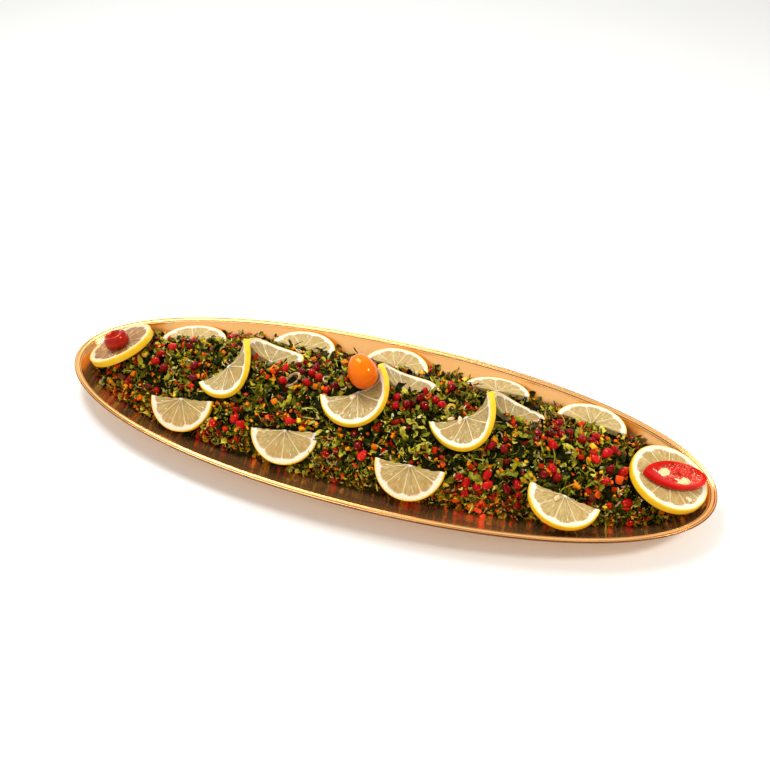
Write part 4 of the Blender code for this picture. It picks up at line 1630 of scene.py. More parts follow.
def bean_shape(draw: random.Random, sides: int, levels: int, size: Sequence[float]) -> Shape:
    """A rounded grain with an uneven surface.

    Args:
        draw: Random draw.
        sides: Points round it.
        levels: Rings between its ends.
        size: Length, width and height.

    Returns:
        Points and faces.
    """
    points = [(-size[0] / 2, 0.0, 0.0), (size[0] / 2, 0.0, 0.0)]
    for level in range(levels):
        angle = math.pi * (level + 1) / (levels + 1)
        for side in range(sides):
            turn = 2 * math.pi * (side + 0.5 * (level % 2)) / sides
            swell = draw.uniform(0.86, 1.08) * math.sin(angle)
            points.append((-math.cos(angle) * size[0] / 2, math.cos(turn) * swell * size[1] / 2,
                           math.sin(turn) * swell * size[2] / 2))
    faces, last = [], 2 + (levels - 1) * sides
    for side in range(sides):
        after = (side + 1) % sides
        faces += [[0, 2 + side, 2 + after], [1, last + after, last + side]]
        for low in range(2, last, sides):
            high = low + sides
            faces += [[low + side, high + side, high + after],
                      [low + side, high + after, low + after]]
    return np.array(points), faces


def grain_shape(draw: random.Random) -> Shape:
    """A cooked bulgur grain, 2 to 3 mm."""
    return bean_shape(draw, 5, 3, (draw.uniform(2.4, 3.4) * MM, draw.uniform(1.6, 2.2) * MM,
                                   draw.uniform(1.4, 1.9) * MM))


def lump_shape(draw: random.Random) -> Shape:
    """A rough lump of nut, 5 to 8 mm.

    Args:
        draw: Random draw.

    Returns:
        Points and faces.
    """
    points, faces = bean_shape(draw, 8, 5, (draw.uniform(5, 8) * MM, draw.uniform(4, 6) * MM,
                                            draw.uniform(3, 4.5) * MM))
    rough = np.array([[draw.uniform(-0.35, 0.35) * MM for _ in range(3)] for _ in points])
    return points + rough, faces


def dice_shape(draw: random.Random) -> Shape:
    """A skewed cube of tomato or pepper, 3 to 5 mm, with cut corners.

    Args:
        draw: Random draw.

    Returns:
        Points and faces.
    """
    shape = bmesh.new()
    bmesh.ops.create_cube(shape, size=1.0)
    size = (draw.uniform(2.8, 5.0) * MM, draw.uniform(2.4, 4.0) * MM, draw.uniform(1.8, 3.0) * MM)
    for vert in shape.verts:
        vert.co = [side * reach * draw.uniform(0.75, 1.1) for side, reach in zip(vert.co, size)]
    bmesh.ops.bevel(shape, geom=shape.edges[:], offset=0.35 * MM, segments=1, affect="EDGES")
    bmesh.ops.triangulate(shape, faces=shape.faces[:])
    return shape_of(shape)


def aril_shape(draw: random.Random) -> Shape:
    """A pomegranate seed: a pointed egg 9.4 mm long with flattened sides.

    Args:
        draw: Random draw.

    Returns:
        Points and faces.
    """
    sides, levels = 20, 13
    points, faces = bean_shape(random.Random(0), sides, levels, (1.0, 1.0, 1.0))
    length, width = 9.4 * MM, 7.4 * MM
    start = draw.uniform(0, 2 * math.pi)
    flats = [start + 2 * math.pi * side / 5 + draw.uniform(-0.2, 0.2) for side in range(5)]
    made = []
    for level_x, side_y, side_z in points:
        angle = math.acos(max(-1.0, min(1.0, -2 * level_x)))
        ring = math.sin(angle) / 2
        turn = math.atan2(side_z, side_y)
        flat = max(math.cos(turn - edge) for edge in flats)
        girth = ring * min(0.86 / max(flat, 0.5), 1.0) * (1 + 0.24 * math.cos(angle))
        made.append((level_x * length, math.cos(turn) * girth * width,
                     math.sin(turn) * girth * width))
    return np.array(made), faces


def ring_shape(draw: random.Random) -> Shape:
    """A thin ring of spring onion or olive, 7 to 10 mm across.

    Args:
        draw: Random draw.

    Returns:
        Points and faces.
    """
    sides, around = 28, 8
    radius, wall, tall = draw.uniform(3.4, 4.8) * MM, 0.75 * MM, 1.1 * MM
    oval = draw.uniform(0.7, 1.0)
    points, faces = [], []
    for side in range(sides):
        angle = 2 * math.pi * side / sides
        for corner in range(around):
            turn = 2 * math.pi * corner / around
            reach = radius + math.cos(turn) * wall
            points.append((math.cos(angle) * reach, math.sin(angle) * reach * oval,
                           math.sin(turn) * tall))
            here, after = side * around, (side + 1) % sides * around
            down = (corner + 1) % around
            faces += [[here + corner, after + corner, after + down],
                      [here + corner, after + down, here + down]]
    return np.array(points), faces


def strap_shape(draw: random.Random) -> Shape:
    """A flat, curled strap of pepper skin, 5 to 9 mm long."""
    points, faces = strip_shape(draw, 5 * MM, 9 * MM, 2.8 * MM)
    points[:, 2] = points[:, 2] * 0.45 + 50.0 * points[:, 0] ** 2
    return points, faces


def slip_shape(draw: random.Random) -> Shape:
    """A thin curved slip of onion, 5 to 9 mm long."""
    points, faces = strip_shape(draw, 5 * MM, 9 * MM, 2.2 * MM)
    points[:, 2] += 60.0 * points[:, 0] ** 2
    return points, faces


@dataclass
class Kind:
    """One kind of loose piece: what it looks like, how many there are and how they lie."""

    name: str
    shape: Callable[[random.Random], Shape]
    count: int
    finish: PieceFinish
    sizes: Pair = (0.7, 1.2)
    tilt: float = 0.8
    reach: Pair = (-0.5 * MM, 1.5 * MM)
    smooth: bool = False
    variants: int = 8
    crowd: Crowd | None = None
    seed: int = 1


class ScatterTree(Nodes):
    """Geometry nodes that set one of several shapes on every place of a point mesh."""

    INPUTS = (("Places", "NodeSocketGeometry"), ("Shapes", "NodeSocketCollection"),
              ("Smallest", "NodeSocketFloat"), ("Largest", "NodeSocketFloat"),
              ("Tilt", "NodeSocketFloat"), ("Seed", "NodeSocketInt"),
              ("Finish", "NodeSocketMaterial"))

    def __init__(self) -> None:
        """Build the tree once, for all kinds of pieces."""
        super().__init__(bpy.data.node_groups.new("Scatter pieces", "GeometryNodeTree"))
        face = self.tree.interface
        self.sockets = {name: face.new_socket(name, in_out="INPUT", socket_type=kind).identifier
                        for name, kind in self.INPUTS}
        face.new_socket("Pieces", in_out="OUTPUT", socket_type="NodeSocketGeometry")
        self.given = self.node("NodeGroupInput").outputs
        self.wire()

    def step(self, kind: str, inputs: dict[str, object], **settings: object) -> Socket:
        """Add a node with its inputs set or linked.

        Args:
            kind: Its type.
            inputs: A value or a socket for each input's name.
            settings: Properties to set on it.

        Returns:
            Its first enabled output.
        """
        made = self.node(kind, **settings)
        for name, value in inputs.items():
            self.feed(next(put for put in made.inputs if put.name == name and put.enabled), value)
        return next(put for put in made.outputs if put.enabled)

    def draw(self, kind: str, shift: int, low: object, high: object) -> Socket:
        """A random value from low to high, whose seed is the tree's own plus a shift."""
        return self.step("FunctionNodeRandomValue", {
            "Min": low, "Max": high, "Seed": self.sum(self.given["Seed"], shift)}, data_type=kind)

    def wire(self) -> None:
        """Link the nodes from the places to the finished pieces."""
        tilt = self.given["Tilt"]
        shapes = self.step("GeometryNodeCollectionInfo", {
            "Collection": self.given["Shapes"], "Separate Children": True,
            "Reset Children": True}, transform_space="ORIGINAL")
        facing = self.step("GeometryNodeInputNamedAttribute", {"Name": "facing"},
                           data_type="FLOAT_VECTOR")
        upright = self.step("FunctionNodeAlignRotationToVector", {"Vector": facing}, axis="Z")
        down = self.sum(tilt, -1.0, "MULTIPLY")
        lowest = self.step("ShaderNodeCombineXYZ", {"X": down, "Y": down})
        highest = self.step("ShaderNodeCombineXYZ", {"X": tilt, "Y": tilt, "Z": 2 * math.pi})
        lean = self.step("FunctionNodeEulerToRotation", {
            "Euler": self.draw("FLOAT_VECTOR", 0, lowest, highest)})
        turned = self.step("FunctionNodeRotateRotation", {
            "Rotation": upright, "Rotate By": lean}, rotation_space="LOCAL")
        placed = self.step("GeometryNodeInstanceOnPoints", {
            "Points": self.given["Places"], "Instance": shapes, "Pick Instance": True,
            "Instance Index": self.draw("INT", 2, 0, 99), "Rotation": turned,
            "Scale": self.draw("FLOAT", 1, self.given["Smallest"], self.given["Largest"])})
        stored = self.step("GeometryNodeStoreNamedAttribute", {
            "Geometry": placed, "Name": "tone", "Value": self.draw("FLOAT", 3, 0.0, 1.0)},
            data_type="FLOAT", domain="INSTANCE")
        real = self.step("GeometryNodeRealizeInstances", {"Geometry": stored})
        painted = self.step("GeometryNodeSetMaterial", {
            "Geometry": real, "Material": self.given["Finish"]})
        self.feed(self.node("NodeGroupOutput").inputs[0], painted)

    def spread(self, points: Array, normals: Array, shapes: bpy.types.Collection, kind: Kind,
               finish: Material) -> Mesh:
        """Set shapes on places and make one plain mesh of them.

        Args:
            points: The places.
            normals: Upward direction at each.
            shapes: Collection of the shapes to choose from.
            kind: The kind of piece, which gives sizes, tilt and seed.
            finish: Material of the pieces.

        Returns:
            The mesh.
        """
        mesh = mesh_of(points, [])
        add_values(mesh, "facing", normals)
        holder = link("holder", mesh)
        spreader = holder.modifiers.new("Scatter", "NODES")
        spreader.node_group = self.tree
        given = (shapes, *kind.sizes, kind.tilt, kind.seed, finish)
        for (name, _), value in zip(self.INPUTS[1:], given):
            spreader[self.sockets[name]] = value
        finish_modifiers(holder)
        made = holder.data
        bpy.data.objects.remove(holder)
        return made


@dataclass
class LoosePieces:
    """Scatters all kinds of loose pieces over the heap, clear of the garnish and the platter."""

    heap: Heap
    garnish: BVHTree
    tree: ScatterTree = field(default_factory=ScatterTree)
    bite: float = 0.5 * MM       # how far a piece may reach into what lies on the heap
    spill: float = 0.8           # share of the pieces above a back slice's near edge that stay
    overhang: float = 5 * MM     # how far from that edge they lie
    back: float = 10 * MM        # y beyond which the heap's back begins
    cover: float = 7 * MM        # below what lies this close, no piece would show

    def shapes(self, kind: Kind) -> bpy.types.Collection:
        """Make a kind's shapes, all with the same number of points and faces.

        Args:
            kind: The kind of piece.

        Returns:
            A collection, not in the scene, that holds them.
        """
        group = bpy.data.collections.new(f"{kind.name} shapes")
        draw = random.Random(kind.seed)
        for number in range(kind.variants):
            points, faces = kind.shape(draw)
            mesh = mesh_of(points, faces)
            turn_outwards(mesh)
            shade(mesh, kind.smooth)
            group.objects.link(bpy.data.objects.new(f"{kind.name}_{number}", mesh))
        return group

    def remove_shapes(self, group: bpy.types.Collection) -> None:
        """Remove a kind's shapes once they are used."""
        for thing in list(group.objects):
            bpy.data.objects.remove(thing)
        bpy.data.collections.remove(group)

    def build(self, kind: Kind, points: Array | None = None, normals: Array | None = None) -> None:
        """Make one kind of piece.

        Args:
            kind: The kind.
            points: Places, or None to draw them over the heap.
            normals: Upward direction at each place.
        """
        if points is None:
            points, normals = self.heap.places(kind.count, kind.seed, kind.reach, kind.crowd)
        chances = np.random.default_rng(kind.seed).uniform(0, 1, len(points))
        free = [self.settle(point, chance) and not self.is_covered(point)
                for point, chance in zip(points, chances)]
        points, normals = points[free], normals[free]
        group = self.shapes(kind)
        size = len(group.objects[0].data.vertices)
        finish = kind.finish.build()
        made = self.tree.spread(points, normals, group, kind, finish)
        self.remove_shapes(group)
        thing = new_object(kind.name, self.clear(made, size), kind.smooth)
        dress(thing, finish)

    def is_covered(self, point: Array) -> bool:
        """Whether a place lies close below something, where no piece would show."""
        start = Vector(point)
        hit = self.garnish.ray_cast(start, Vector((0, 0, 1)))
        return hit[0] is not None and hit[3] < self.cover

    def slice_below(self, x: float, y: float, z: float) -> float | None:
        """Height of the garnish close below a place, or None where there is none."""
        hit = self.garnish.ray_cast(Vector((x, y, z + 3 * MM)), Vector((0, 0, -1)))
        return hit[0].z if hit[0] is not None and hit[3] < 16 * MM else None

    def settle(self, point: Array, chance: float) -> bool:
        """Lay a piece that would hide a slice on it, where it lies near the slice's near edge.

        Args:
            point: The piece's place, which may be lifted.
            chance: A random share that decides whether it stays.

        Returns:
            Whether the piece stays.
        """
        height = self.slice_below(*point)
        if height is None:
            behind = self.slice_below(point[0], point[1] + self.overhang, point[2] + 4 * MM)
            if behind and point[1] > self.back and chance < self.spill:
                point[2] = max(point[2], behind - 0.5 * MM)
            return True
        at_edge = point[1] > self.back and self.slice_below(
            point[0], point[1] - self.overhang, point[2]) is None
        if not at_edge or chance > self.spill:
            return False
        point[2] = height + 2.0 * MM
        return True

    def clear(self, made: Mesh, size: int) -> Mesh:
        """Lift pieces off the platter and drop those that would cut into the garnish.

        Args:
            made: All pieces in one mesh.
            size: Points of each piece.

        Returns:
            A mesh of the pieces that stay.
        """
        points = np.zeros(len(made.vertices) * 3, np.float32)
        made.vertices.foreach_get("co", points)
        pieces = points.reshape(-1, size, 3).astype(float)
        tone = np.zeros(len(made.vertices), np.float32)
        made.attributes["tone"].data.foreach_get("value", tone)
        corners = np.zeros(len(made.loops), np.int32)
        made.loops.foreach_get("vertex_index", corners)
        starts = np.arange(len(pieces))[:, None, None] * size
        corners = corners.reshape(len(pieces), -1, 3) - starts
        flat = pieces.reshape(-1, 3)
        floor = self.heap.platter.height_at(flat[:, 0], flat[:, 1]).reshape(-1, size)
        sunk = np.max(floor + 0.15 * MM - pieces[:, :, 2], axis=1)
        pieces[:, :, 2] += np.maximum(sunk, 0.0)[:, None]
        keep = sunk < 1.2 * MM
        middle = pieces.mean(axis=1)
        reach = np.linalg.norm(pieces - middle[:, None, :], axis=2).max(axis=1)
        for index in np.nonzero(keep)[0]:
            near = self.garnish.find_nearest(Vector(middle[index]), reach[index])
            if near[0] is not None:
                keep[index] = all(self.depth(Vector(point)) < self.bite for point in pieces[index])
        bpy.data.meshes.remove(made)
        kept = pieces[keep]
        faces = (corners[keep] + starts[:len(kept)]).reshape(-1, 3)
        mesh = mesh_of(kept.reshape(-1, 3), faces.tolist())
        add_values(mesh, "tone", tone.reshape(-1, size)[keep].ravel())
        return mesh

    def depth(self, point: Vector) -> float:
        """How deep a point lies inside the garnish, or 0 outside it."""
        near, normal, _, away = self.garnish.find_nearest(point)
        return away if (point - near).dot(normal) < 0 else 0.0


def patchy(x: Array, y: Array) -> Array:
    """Share of places kept by a crowd in loose patches, thinner on the heap's near foot."""
    patches = LatticeNoise(77).at(x / (24 * MM), y / (18 * MM))
    return np.clip(0.55 + 0.5 * patches - 0.3 * smooth_step(-36 * MM, -58 * MM, y), 0.08, 1.0)


def leafy(x: Array, y: Array) -> Array:
    """Share of places kept by a crowd in small patches."""
    patches = LatticeNoise(78).at(x / (20 * MM), y / (15 * MM))
    return np.clip(0.75 + 0.4 * patches, 0.2, 1.0)


RED_MIRROR: Colour = (1.0, 0.4, 0.15)

KINDS = (
    # The herb flakes, shreds and leaves start their tones near black: painted shade, drawn at random
    # over the pieces; their higher tones are leaf colours.
    Kind("herb_flakes", flake_shape, 10500, PieceFinish(
        "chopped parsley", ((0.0, (0.002, 0.003, 0.001)), (0.40, (0.014, 0.015, 0.002)),
                            (0.64, (0.10, 0.095, 0.004)), (0.86, (0.42, 0.37, 0.018)),
                            (1.0, (0.70, 0.60, 0.08)))),
         (0.9, 1.8), 1.2, (-2.4 * MM, 1.8 * MM), seed=101),
    Kind("lime_flakes", flake_shape, 1300, PieceFinish(
        "pale chopped herbs", ((0.0, (0.12, 0.12, 0.008)), (0.5, (0.38, 0.36, 0.03)),
                               (1.0, (0.80, 0.74, 0.30)))),
         (0.5, 1.05), 1.2, (-0.5 * MM, 2.0 * MM), crowd=leafy, seed=102),
    Kind("herb_shreds", shred_shape, 3200, PieceFinish(
        "shredded stems", ((0.0, (0.006, 0.008, 0.001)), (0.5, (0.08, 0.085, 0.005)),
                           (0.85, (0.50, 0.46, 0.04)), (1.0, (0.74, 0.68, 0.22)))),
         (0.7, 1.5), 0.9, (-1.5 * MM, 2.2 * MM), seed=103),
    Kind("parsley_leaves", lobed_shape, 1050, PieceFinish(
        "parsley leaves", ((0.0, (0.003, 0.005, 0.001)), (0.55, (0.022, 0.030, 0.002)),
                           (1.0, (0.36, 0.35, 0.03)))),
         (0.65, 1.25), 0.9, (-0.6 * MM, 1.8 * MM), seed=104),
    # pale crumbs: partly garlic and salt, partly painted glints on the herbs
    Kind("white_crumbs", grain_shape, 520, PieceFinish(
        "chopped garlic and painted glints", ((0.0, (0.55, 0.48, 0.24)), (1.0, (0.93, 0.91, 0.78)))),
         (0.35, 0.75), 1.2, (0.6 * MM, 2.4 * MM), seed=113),
    Kind("bulgur_grains", grain_shape, 1050, PieceFinish(
        "bulgur", ((0.0, (0.42, 0.04, 0.002)), (0.5, (0.84, 0.17, 0.004)),
                   (1.0, (0.93, 0.40, 0.02))), mirror=RED_MIRROR),
         (0.9, 1.7), 1.2, (0.0, 1.8 * MM), True, crowd=patchy, seed=105),
    Kind("red_strips", strap_shape, 560, PieceFinish(
        "pepper skin", ((0.0, (0.10, 0.002, 0.001)), (0.6, (0.48, 0.009, 0.002)),
                        (1.0, (0.72, 0.07, 0.008))), mirror=RED_MIRROR),
         (0.7, 1.4), 1.0, (0.0, 1.8 * MM), True, crowd=patchy, seed=112),
    Kind("red_dice", dice_shape, 400, PieceFinish(
        "diced tomato and pepper", ((0.0, (0.14, 0.004, 0.001)), (0.6, (0.62, 0.025, 0.004)),
                                    (1.0, (0.84, 0.15, 0.02))), mirror=RED_MIRROR),
         (0.8, 1.8), 1.0, (-0.2 * MM, 1.6 * MM), True, crowd=patchy, seed=106),
    Kind("orange_dice", dice_shape, 270, PieceFinish(
        "diced yellow pepper", ((0.0, (0.62, 0.09, 0.003)), (0.5, (0.90, 0.27, 0.006)),
                                (1.0, (0.93, 0.60, 0.04))), mirror=RED_MIRROR),
         (0.7, 1.6), 1.0, (0.0, 1.8 * MM), True, crowd=patchy, seed=107),
    Kind("onion_slips", slip_shape, 190, PieceFinish(
        "onion", ((0.0, (0.42, 0.20, 0.08)), (0.6, (0.70, 0.50, 0.27)),
                  (1.0, (0.92, 0.84, 0.64))), subsurface=0.2),
         (0.6, 1.2), 0.9, (0.2 * MM, 1.8 * MM), True, seed=108),
    Kind("nut_lumps", lump_shape, 110, PieceFinish(
        "walnut and raisin", ((0.0, (0.05, 0.006, 0.003)), (0.5, (0.15, 0.025, 0.008)),
                              (1.0, (0.30, 0.09, 0.025))), 0.25, mirror=RED_MIRROR),
         (0.7, 1.5), 1.2, (-0.5 * MM, 1.0 * MM), True, crowd=patchy, seed=109),
    Kind("onion_rings", ring_shape, 10, PieceFinish(
        "spring onion and olive rings", ((0.0, (0.10, 0.08, 0.02)), (0.5, (0.42, 0.36, 0.14)),
                                         (1.0, (0.76, 0.60, 0.38))), subsurface=0.2),
         (0.6, 1.05), 0.5, (1.2 * MM, 2.0 * MM), True, seed=110),
)


@dataclass
class PlacedPiece:
    """One piece laid at a chosen place: middle (mm), facing, turn in degrees and stretch."""

    name: str
    shape: Callable[[random.Random], Shape]
    tones: Tones
    place: Place
    facing: Place
    turn: float
    stretch: Place
    slot: Slot = Slot.SALAD

    def build(self) -> None:
        """Make the piece."""
        points, faces = self.shape(random.Random(4))
        stand = Vector(self.facing).normalized().to_track_quat("Z", "Y").to_matrix().to_4x4()
        matrix = (Matrix.Translation(Vector(self.place) * MM) @ stand
                  @ Matrix.Rotation(math.radians(self.turn), 4, "Z")
                  @ Matrix.Diagonal((*self.stretch, 1.0)))
        mesh = mesh_of(place_by(matrix)(points), faces)
        turn_outwards(mesh)
        add_values(mesh, "tone", np.full(len(points), 0.5))
        finish = PieceFinish(self.name.replace("_", " "),
                             ((0.42, self.tones[0]), (0.58, self.tones[1])), grain=420.0,
                             subsurface=0.1, mirror=RED_MIRROR)
        dress(new_object(self.name, mesh), finish.build())


def pip_shape(draw: random.Random) -> Shape:
    """A lemon seed, 8.5 mm long."""
    return bean_shape(random.Random(0), 14, 9, (8.5 * MM, 4.6 * MM, 2.6 * MM))


PIP = ((0.62, 0.34, 0.13), (0.90, 0.78, 0.56))
TAN = ((0.40, 0.18, 0.07), (0.80, 0.58, 0.36))
RED = ((0.60, 0.020, 0.006), (0.86, 0.13, 0.045))
BRICK = ((0.42, 0.035, 0.008), (0.66, 0.11, 0.018))
AMBER = ((0.62, 0.12, 0.004), (0.88, 0.34, 0.015))
LIME = ((0.30, 0.28, 0.02), (0.82, 0.78, 0.32))
OLIVE = ((0.34, 0.20, 0.012), (0.62, 0.46, 0.06))

PLACED = tuple(PlacedPiece(*row) for row in (
    ("seed_on_twist_2", pip_shape, PIP, (-15.9, -6.0, 52.6), (0.15, -0.19, 0.97), 35,
     (0.9, 1.0, 1.0), Slot.LEMON),
    ("seed_on_twist_3", pip_shape, PIP, (80.5, -3.7, 51.6), (0.29, -0.43, 0.85), 75,
     (1.0, 0.85, 1.0), Slot.LEMON),
    ("seed_at_twist_3", pip_shape, PIP, (72.5, -2.6, 50.2), (0.1, -0.3, 0.9), 10,
     (0.8, 0.7, 1.0), Slot.LEMON),
    ("seed_on_front_4", pip_shape, PIP, (174.1, -42.5, 29.9), (0.2, -0.2, 0.95), 20,
     (0.8, 0.9, 1.0), Slot.LEMON),
    ("seed_on_round", pip_shape, PIP, (276.4, -13.3, 33.0), (0.34, 0.14, 0.93), 50,
     (0.75, 1.1, 1.0), Slot.LEMON),
    ("onion_ring", ring_shape, TAN, (-77.4, 2.6, 46.4), (-0.1, -0.25, 0.95), 80, (2.2, 1.75, 1.8)),
    ("olive_slice", pip_shape, OLIVE, (68.0, 10.6, 47.4), (0.0, -0.35, 0.93), 60,
     (1.45, 2.3, 1.2)),
    ("olive_heart", ring_shape, LIME, (69.2, 8.6, 48.6), (0.0, -0.35, 0.93), 0, (0.75, 0.8, 0.8)),
    ("onion_arc", slip_shape, TAN, (110.5, -53.5, 14.4), (0.0, -0.8, 0.6), 4, (2.4, 1.3, -1.5)),
    ("amber_wedge", dice_shape, AMBER, (105.6, -55.5, 10.0), (0.0, -0.6, 0.8), 60,
     (2.3, 1.5, 1.3)),
    ("red_cube_1", dice_shape, RED, (112.6, -57.8, 7.6), (0.2, -0.6, 0.8), -35, (2.2, 1.8, 1.5)),
    ("red_cube_2", dice_shape, RED, (117.6, -60.4, 3.8), (0.4, -0.5, 0.8), 10, (1.7, 1.6, 1.4)),
    ("raisin", lump_shape, ((0.12, 0.010, 0.003), (0.34, 0.05, 0.014)), (134.6, -50.0, 15.0),
     (0.1, -0.7, 0.6), 20, (2.0, 1.7, 1.3)),
    ("frilly_parsley", lobed_shape, LIME, (92.0, -44.5, 29.5), (0.1, -0.4, 0.9), 40,
     (1.3, 1.5, 2.2)),
    ("brick_cube", dice_shape, BRICK, (-250.8, -26.0, 8.6), (0.3, -0.3, 0.9), -30,
     (2.6, 2.6, 1.8)),
    ("brick_stick_1", dice_shape, BRICK, (-213.6, -37.6, 15.4), (0.0, -0.7, 0.7), 30,
     (3.2, 1.1, 1.0)),
    ("brick_stick_2", dice_shape, AMBER, (-219.6, -40.2, 10.6), (0.0, -0.7, 0.7), 45,
     (2.6, 1.2, 1.0)),
    ("pale_leaf", lobed_shape, LIME, (-264.4, -24.6, 14.0), (0.2, -0.3, 0.9), 60, (1.3, 1.1, 1.6)),
))


@dataclass
class SeedCluster:
    """A loose cluster of pomegranate seeds: its middle (mm), how many and their spread (mm)."""

    x: float
    y: float
    count: int
    spread: float


SEED_CLUSTERS = tuple(SeedCluster(*numbers) for numbers in (
    (-240, -30, 2, 9), (-212, -8, 3, 13), (-197, 18, 4, 12), (-172, 62, 4, 14), (-168, -14, 2, 8),
    (-143, -50, 3, 9), (-118, -50, 5, 11), (-92, 10, 3, 17), (-62, 12, 5, 12), (-42, -6, 2, 9),
    (-64, -38, 1, 3), (-18, -57, 3, 9), (4, -42, 3, 10), (22, 0, 3, 11), (46, 16, 5, 16),
    (66, 44, 2, 8), (98, -52, 4, 10), (118, -47, 5, 10), (120, -20, 3, 10), (138, -46, 4, 9),
    (150, 4, 4, 12), (164, -30, 3, 11), (164, 24, 4, 12), (196, 14, 6, 15), (214, -12, 3, 11),
    (232, -30, 2, 8),
))
SEED_ROOM = 7.6 * MM             # least distance between two seeds' middles
SEED_LIFT = 2.4 * MM             # of a seed's middle above the ground
SEED_REACH = 4.6 * MM            # least distance from a seed's middle to the garnish


def seed_places(heap: Heap, garnish: BVHTree) -> tuple[Array, Array]:
    """Places of the pomegranate seeds, cluster by cluster.

    Args:
        heap: The heap they lie on.
        garnish: What they keep clear of.

    Returns:
        Points and upward normals.
    """
    draw = random.Random(17)
    points: list[Array] = []
    for cluster in SEED_CLUSTERS:
        placed = 0
        for _ in range(cluster.count * 40):
            reach = cluster.spread * math.sqrt(draw.random())
            angle = draw.uniform(0, 2 * math.pi)
            x = np.array([(cluster.x + reach * math.cos(angle)) * MM])
            y = np.array([(cluster.y + reach * math.sin(angle)) * MM])
            spot = np.array((x[0], y[0], heap.ground_at(x, y)[0] + SEED_LIFT))
            crowded = any(np.linalg.norm(spot - other) < SEED_ROOM for other in points)
            near = garnish.find_nearest(Vector(spot), SEED_REACH)[0]
            covered = garnish.ray_cast(Vector(spot), Vector((0, 0, 1)))[0]
            if crowded or near or covered:
                continue
            points.append(spot)
            placed += 1
            if placed == cluster.count:
                break
    return np.array(points), np.tile((0.0, 0.0, 1.0), (len(points), 1))


SEEDS = Kind("pomegranate_seeds", aril_shape, 0, PieceFinish(
    "pomegranate", ((0.0, (0.05, 0.0003, 0.0005)), (0.4, (0.20, 0.0008, 0.0015)),
                    (0.8, (0.42, 0.0025, 0.0035)), (1.0, (0.62, 0.02, 0.015))),
    0.08, 260.0, 0.01 * MM, 0.0, 0.8, (1.0, 0.17, 0.14), 0.3), (0.95, 1.15), 1.4, (0.0, 0.0), True,
    10, seed=111)


# ---- surroundings --------------------------------------------------------------------------
@dataclass
class Studio:
    """Pale floor, soft lights and the camera."""

    target: Place = (-0.0013, 0.0400, 0.028)
    azimuth: float = 18.09
    elevation: float = 45.0
    distance: float = 0.8
    lens: float = 40.17
    sensor: float = 36.0
    sky_strength: float = 1.0
    # sine of the height above the horizon, and the sky's brightness there
    sky_bands: tuple[Pair, ...] = (
        (0.0, 0.95), (0.30, 1.05), (0.55, 1.05), (0.86, 1.0), (0.95, 0.40), (1.0, 0.25))
    # the same across the studio, from its left to its right
    sky_sides: tuple[Pair, ...] = ((0.0, 1.0), (0.55, 1.0), (0.80, 0.50))
    sky_colour: Colour = (1.0, 0.95, 0.85)
    # name, place, width and height, watts and colour of each lamp
    lamps: tuple[tuple[str, Place, Pair, float, Colour], ...] = (
        ("key", (0.80, 0.0, 0.85), (0.18, 0.18), 5.0, (1.0, 0.94, 0.82)),
        ("strip", (-0.42, 0.28, 1.0), (0.34, 0.66), 8.5, (1.0, 0.97, 0.90)))
    floor_size: float = 4.0      # from the middle to each side
    floor_tones: Tones = ((0.86, 0.90, 0.97), (0.89, 0.93, 1.0))

    def camera(self) -> None:
        """Set up the camera at the photo's angle."""
        data = bpy.data.cameras.new("camera")
        data.lens, data.sensor_width = self.lens, self.sensor
        data.clip_start, data.clip_end = 0.05, 20.0
        camera = link("camera", data)
        turn, rise = math.radians(self.azimuth), math.radians(self.elevation)
        back = Vector((math.sin(turn) * math.cos(rise), -math.cos(turn) * math.cos(rise),
                       math.sin(rise)))
        camera.location = Vector(self.target) + back * self.distance
        camera.rotation_euler = (-back).to_track_quat("-Z", "Y").to_euler()
        bpy.context.scene.camera = camera

    def light(self, name: str, place: Place, size: Pair, power: float, colour: Colour) -> None:
        """Add a rectangular soft light aimed at the dish.

        Args:
            name: Its name.
            place: Where it hangs.
            size: Its width and height.
            power: Its power in watts.
            colour: Its colour.
        """
        data = bpy.data.lights.new(name, "AREA")
        data.shape = "RECTANGLE"
        data.energy, data.size, data.size_y, data.color = power, *size, colour
        lamp = link(name, data)
        lamp.location = place
        aim = Vector(self.target) - Vector(place)
        lamp.rotation_euler = aim.to_track_quat("-Z", "Y").to_euler()

    def sky(self) -> None:
        """Surround the dish with light, brighter from the sides than from straight above."""
        world = bpy.data.worlds.new("studio")
        world.use_nodes = True
        nodes = Nodes(world.node_tree)
        parts = nodes.node("ShaderNodeSeparateXYZ")
        nodes.give(parts, Vector=nodes.node("ShaderNodeTexCoord").outputs["Generated"])
        bands = nodes.ramp(parts.outputs["Z"], [
            (place, tuple(level * part for part in self.sky_colour))
            for place, level in self.sky_bands])
        sides = nodes.ramp(nodes.span(parts.outputs["X"], -1.0, 1.0), [
            (place, (level, level, level)) for place, level in self.sky_sides])
        nodes.give(nodes.tree.nodes["Background"], Strength=self.sky_strength,
                   Color=nodes.mix(1.0, bands, sides, "MULTIPLY"))
        bpy.context.scene.world = world

    def build(self) -> None:
        """Make the floor, the lights, the sky and the camera."""
        self.sky()
        bpy.context.scene.view_settings.view_transform = "Standard"
        corners = np.array([(-1, -1, 0), (1, -1, 0), (1, 1, 0), (-1, 1, 0)]) * self.floor_size
        floor = new_object("floor", mesh_of(corners, [[0, 1, 2, 3]]))
        graph = Graph("white floor")
        graph.set(Base_Color=graph.mix(graph.noise(6.0), *self.floor_tones), Roughness=0.7)
        floor.data.materials.append(graph.material)
        for lamp in self.lamps:
            self.light(*lamp)
        self.camera()


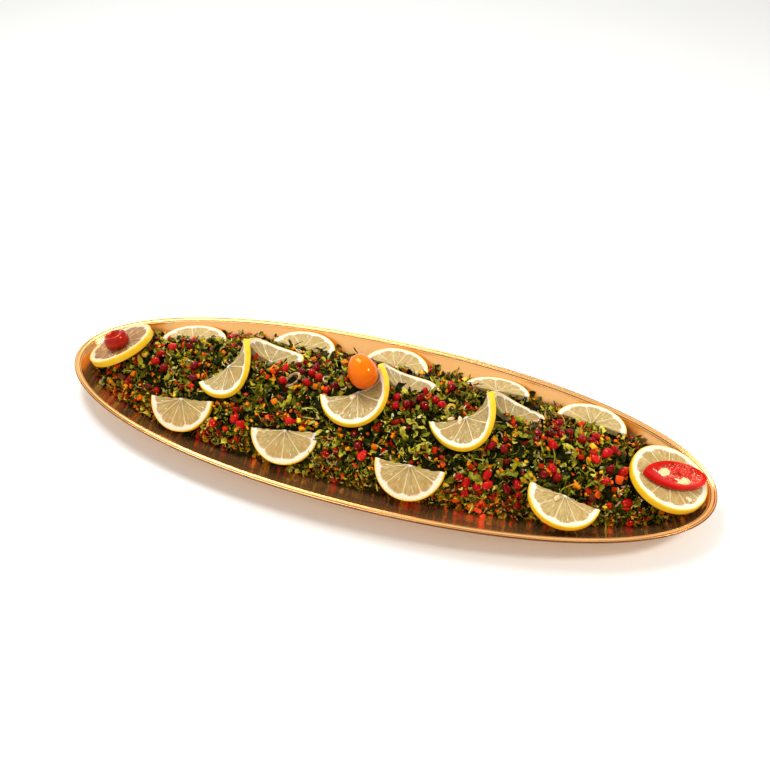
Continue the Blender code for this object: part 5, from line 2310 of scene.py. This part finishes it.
# ---- assembly ------------------------------------------------------------------------------
def tree_of(things: Sequence[Thing]) -> BVHTree:
    """One search tree over several pieces.

    Args:
        things: The pieces.

    Returns:
        The tree.
    """
    points, faces = [], []
    for thing in things:
        offset = len(points)
        points += [vert.co.copy() for vert in thing.data.vertices]
        faces += [[offset + index for index in face.vertices] for face in thing.data.polygons]
    return BVHTree.FromPolygons(points, faces)


def main() -> None:
    """Build every piece of the dish in order."""
    logging.basicConfig(level=logging.INFO, format="%(message)s")
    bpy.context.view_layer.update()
    Studio().build()
    platter = Platter()
    platter.build(CopperFinish().build())

    lemon = LemonFinish().build()
    pieces = [half.build(lemon, 31 + number)
              for number, half in enumerate(FRONT_HALVES + BACK_HALVES)]
    # darker, browner pulp, membranes and pith for the left round: painted shade, for a slice in shade
    # with the dark salad and copper showing through
    pieces.append(ROUND_LEFT.build(LemonFinish(
        (0.20, 0.075, 0.018), (0.31, 0.135, 0.035), (0.43, 0.225, 0.075),
        membrane=(0.56, 0.36, 0.15), pith=(0.74, 0.60, 0.42)).build(), 51))
    pieces.append(ROUND_RIGHT.build(lemon, 52))
    # the twists' lemon, its pulp darkened as painted shade
    thin = LemonFinish(painted_shade_scale=0.78).build()
    pieces += [twist.build(thin, 61 + 2 * number) for number, twist in enumerate(TWISTS)]
    # the tomato's skin darkens towards its lowest point: painted shade
    pieces.append(PlumTomato().build(SkinFinish(
        "orange tomato skin", (0.84, 0.185, 0.003), (0.62, 0.055, 0.002), 0.05,
        depth=0.0, along="painted_shade_low").build()))
    garnish = tree_of(pieces)
    ChilliSlice().build(
        ChilliFinish().build(),
        SkinFinish("lemon through the chilli", (0.90, 0.78, 0.48), (0.74, 0.54, 0.22), 0.25,
                   500.0, mirror=(1.0, 0.9, 0.7)).build(),
        # finish of the pale ribs, which partly stand in for highlights: painted highlights
        SkinFinish("pale fibre", (0.92, 0.70, 0.60), (0.85, 0.40, 0.32), 0.2).build())
    PepperPiece().build(
        SkinFinish("red pepper", (0.42, 0.010, 0.004), (0.28, 0.005, 0.003), 0.14,
                   mirror=(1.0, 0.3, 0.15)).build())

    heap = Heap(platter, garnish)
    heap.prepare()
    heap.build_core(HerbMassShadeFinish().build())
    loose = LoosePieces(heap, garnish)
    loose.build(SEEDS, *seed_places(heap, garnish))
    for kind in KINDS:
        loose.build(kind)
    for placed in PLACED:
        placed.build()


if __name__ == "__main__":
    main()
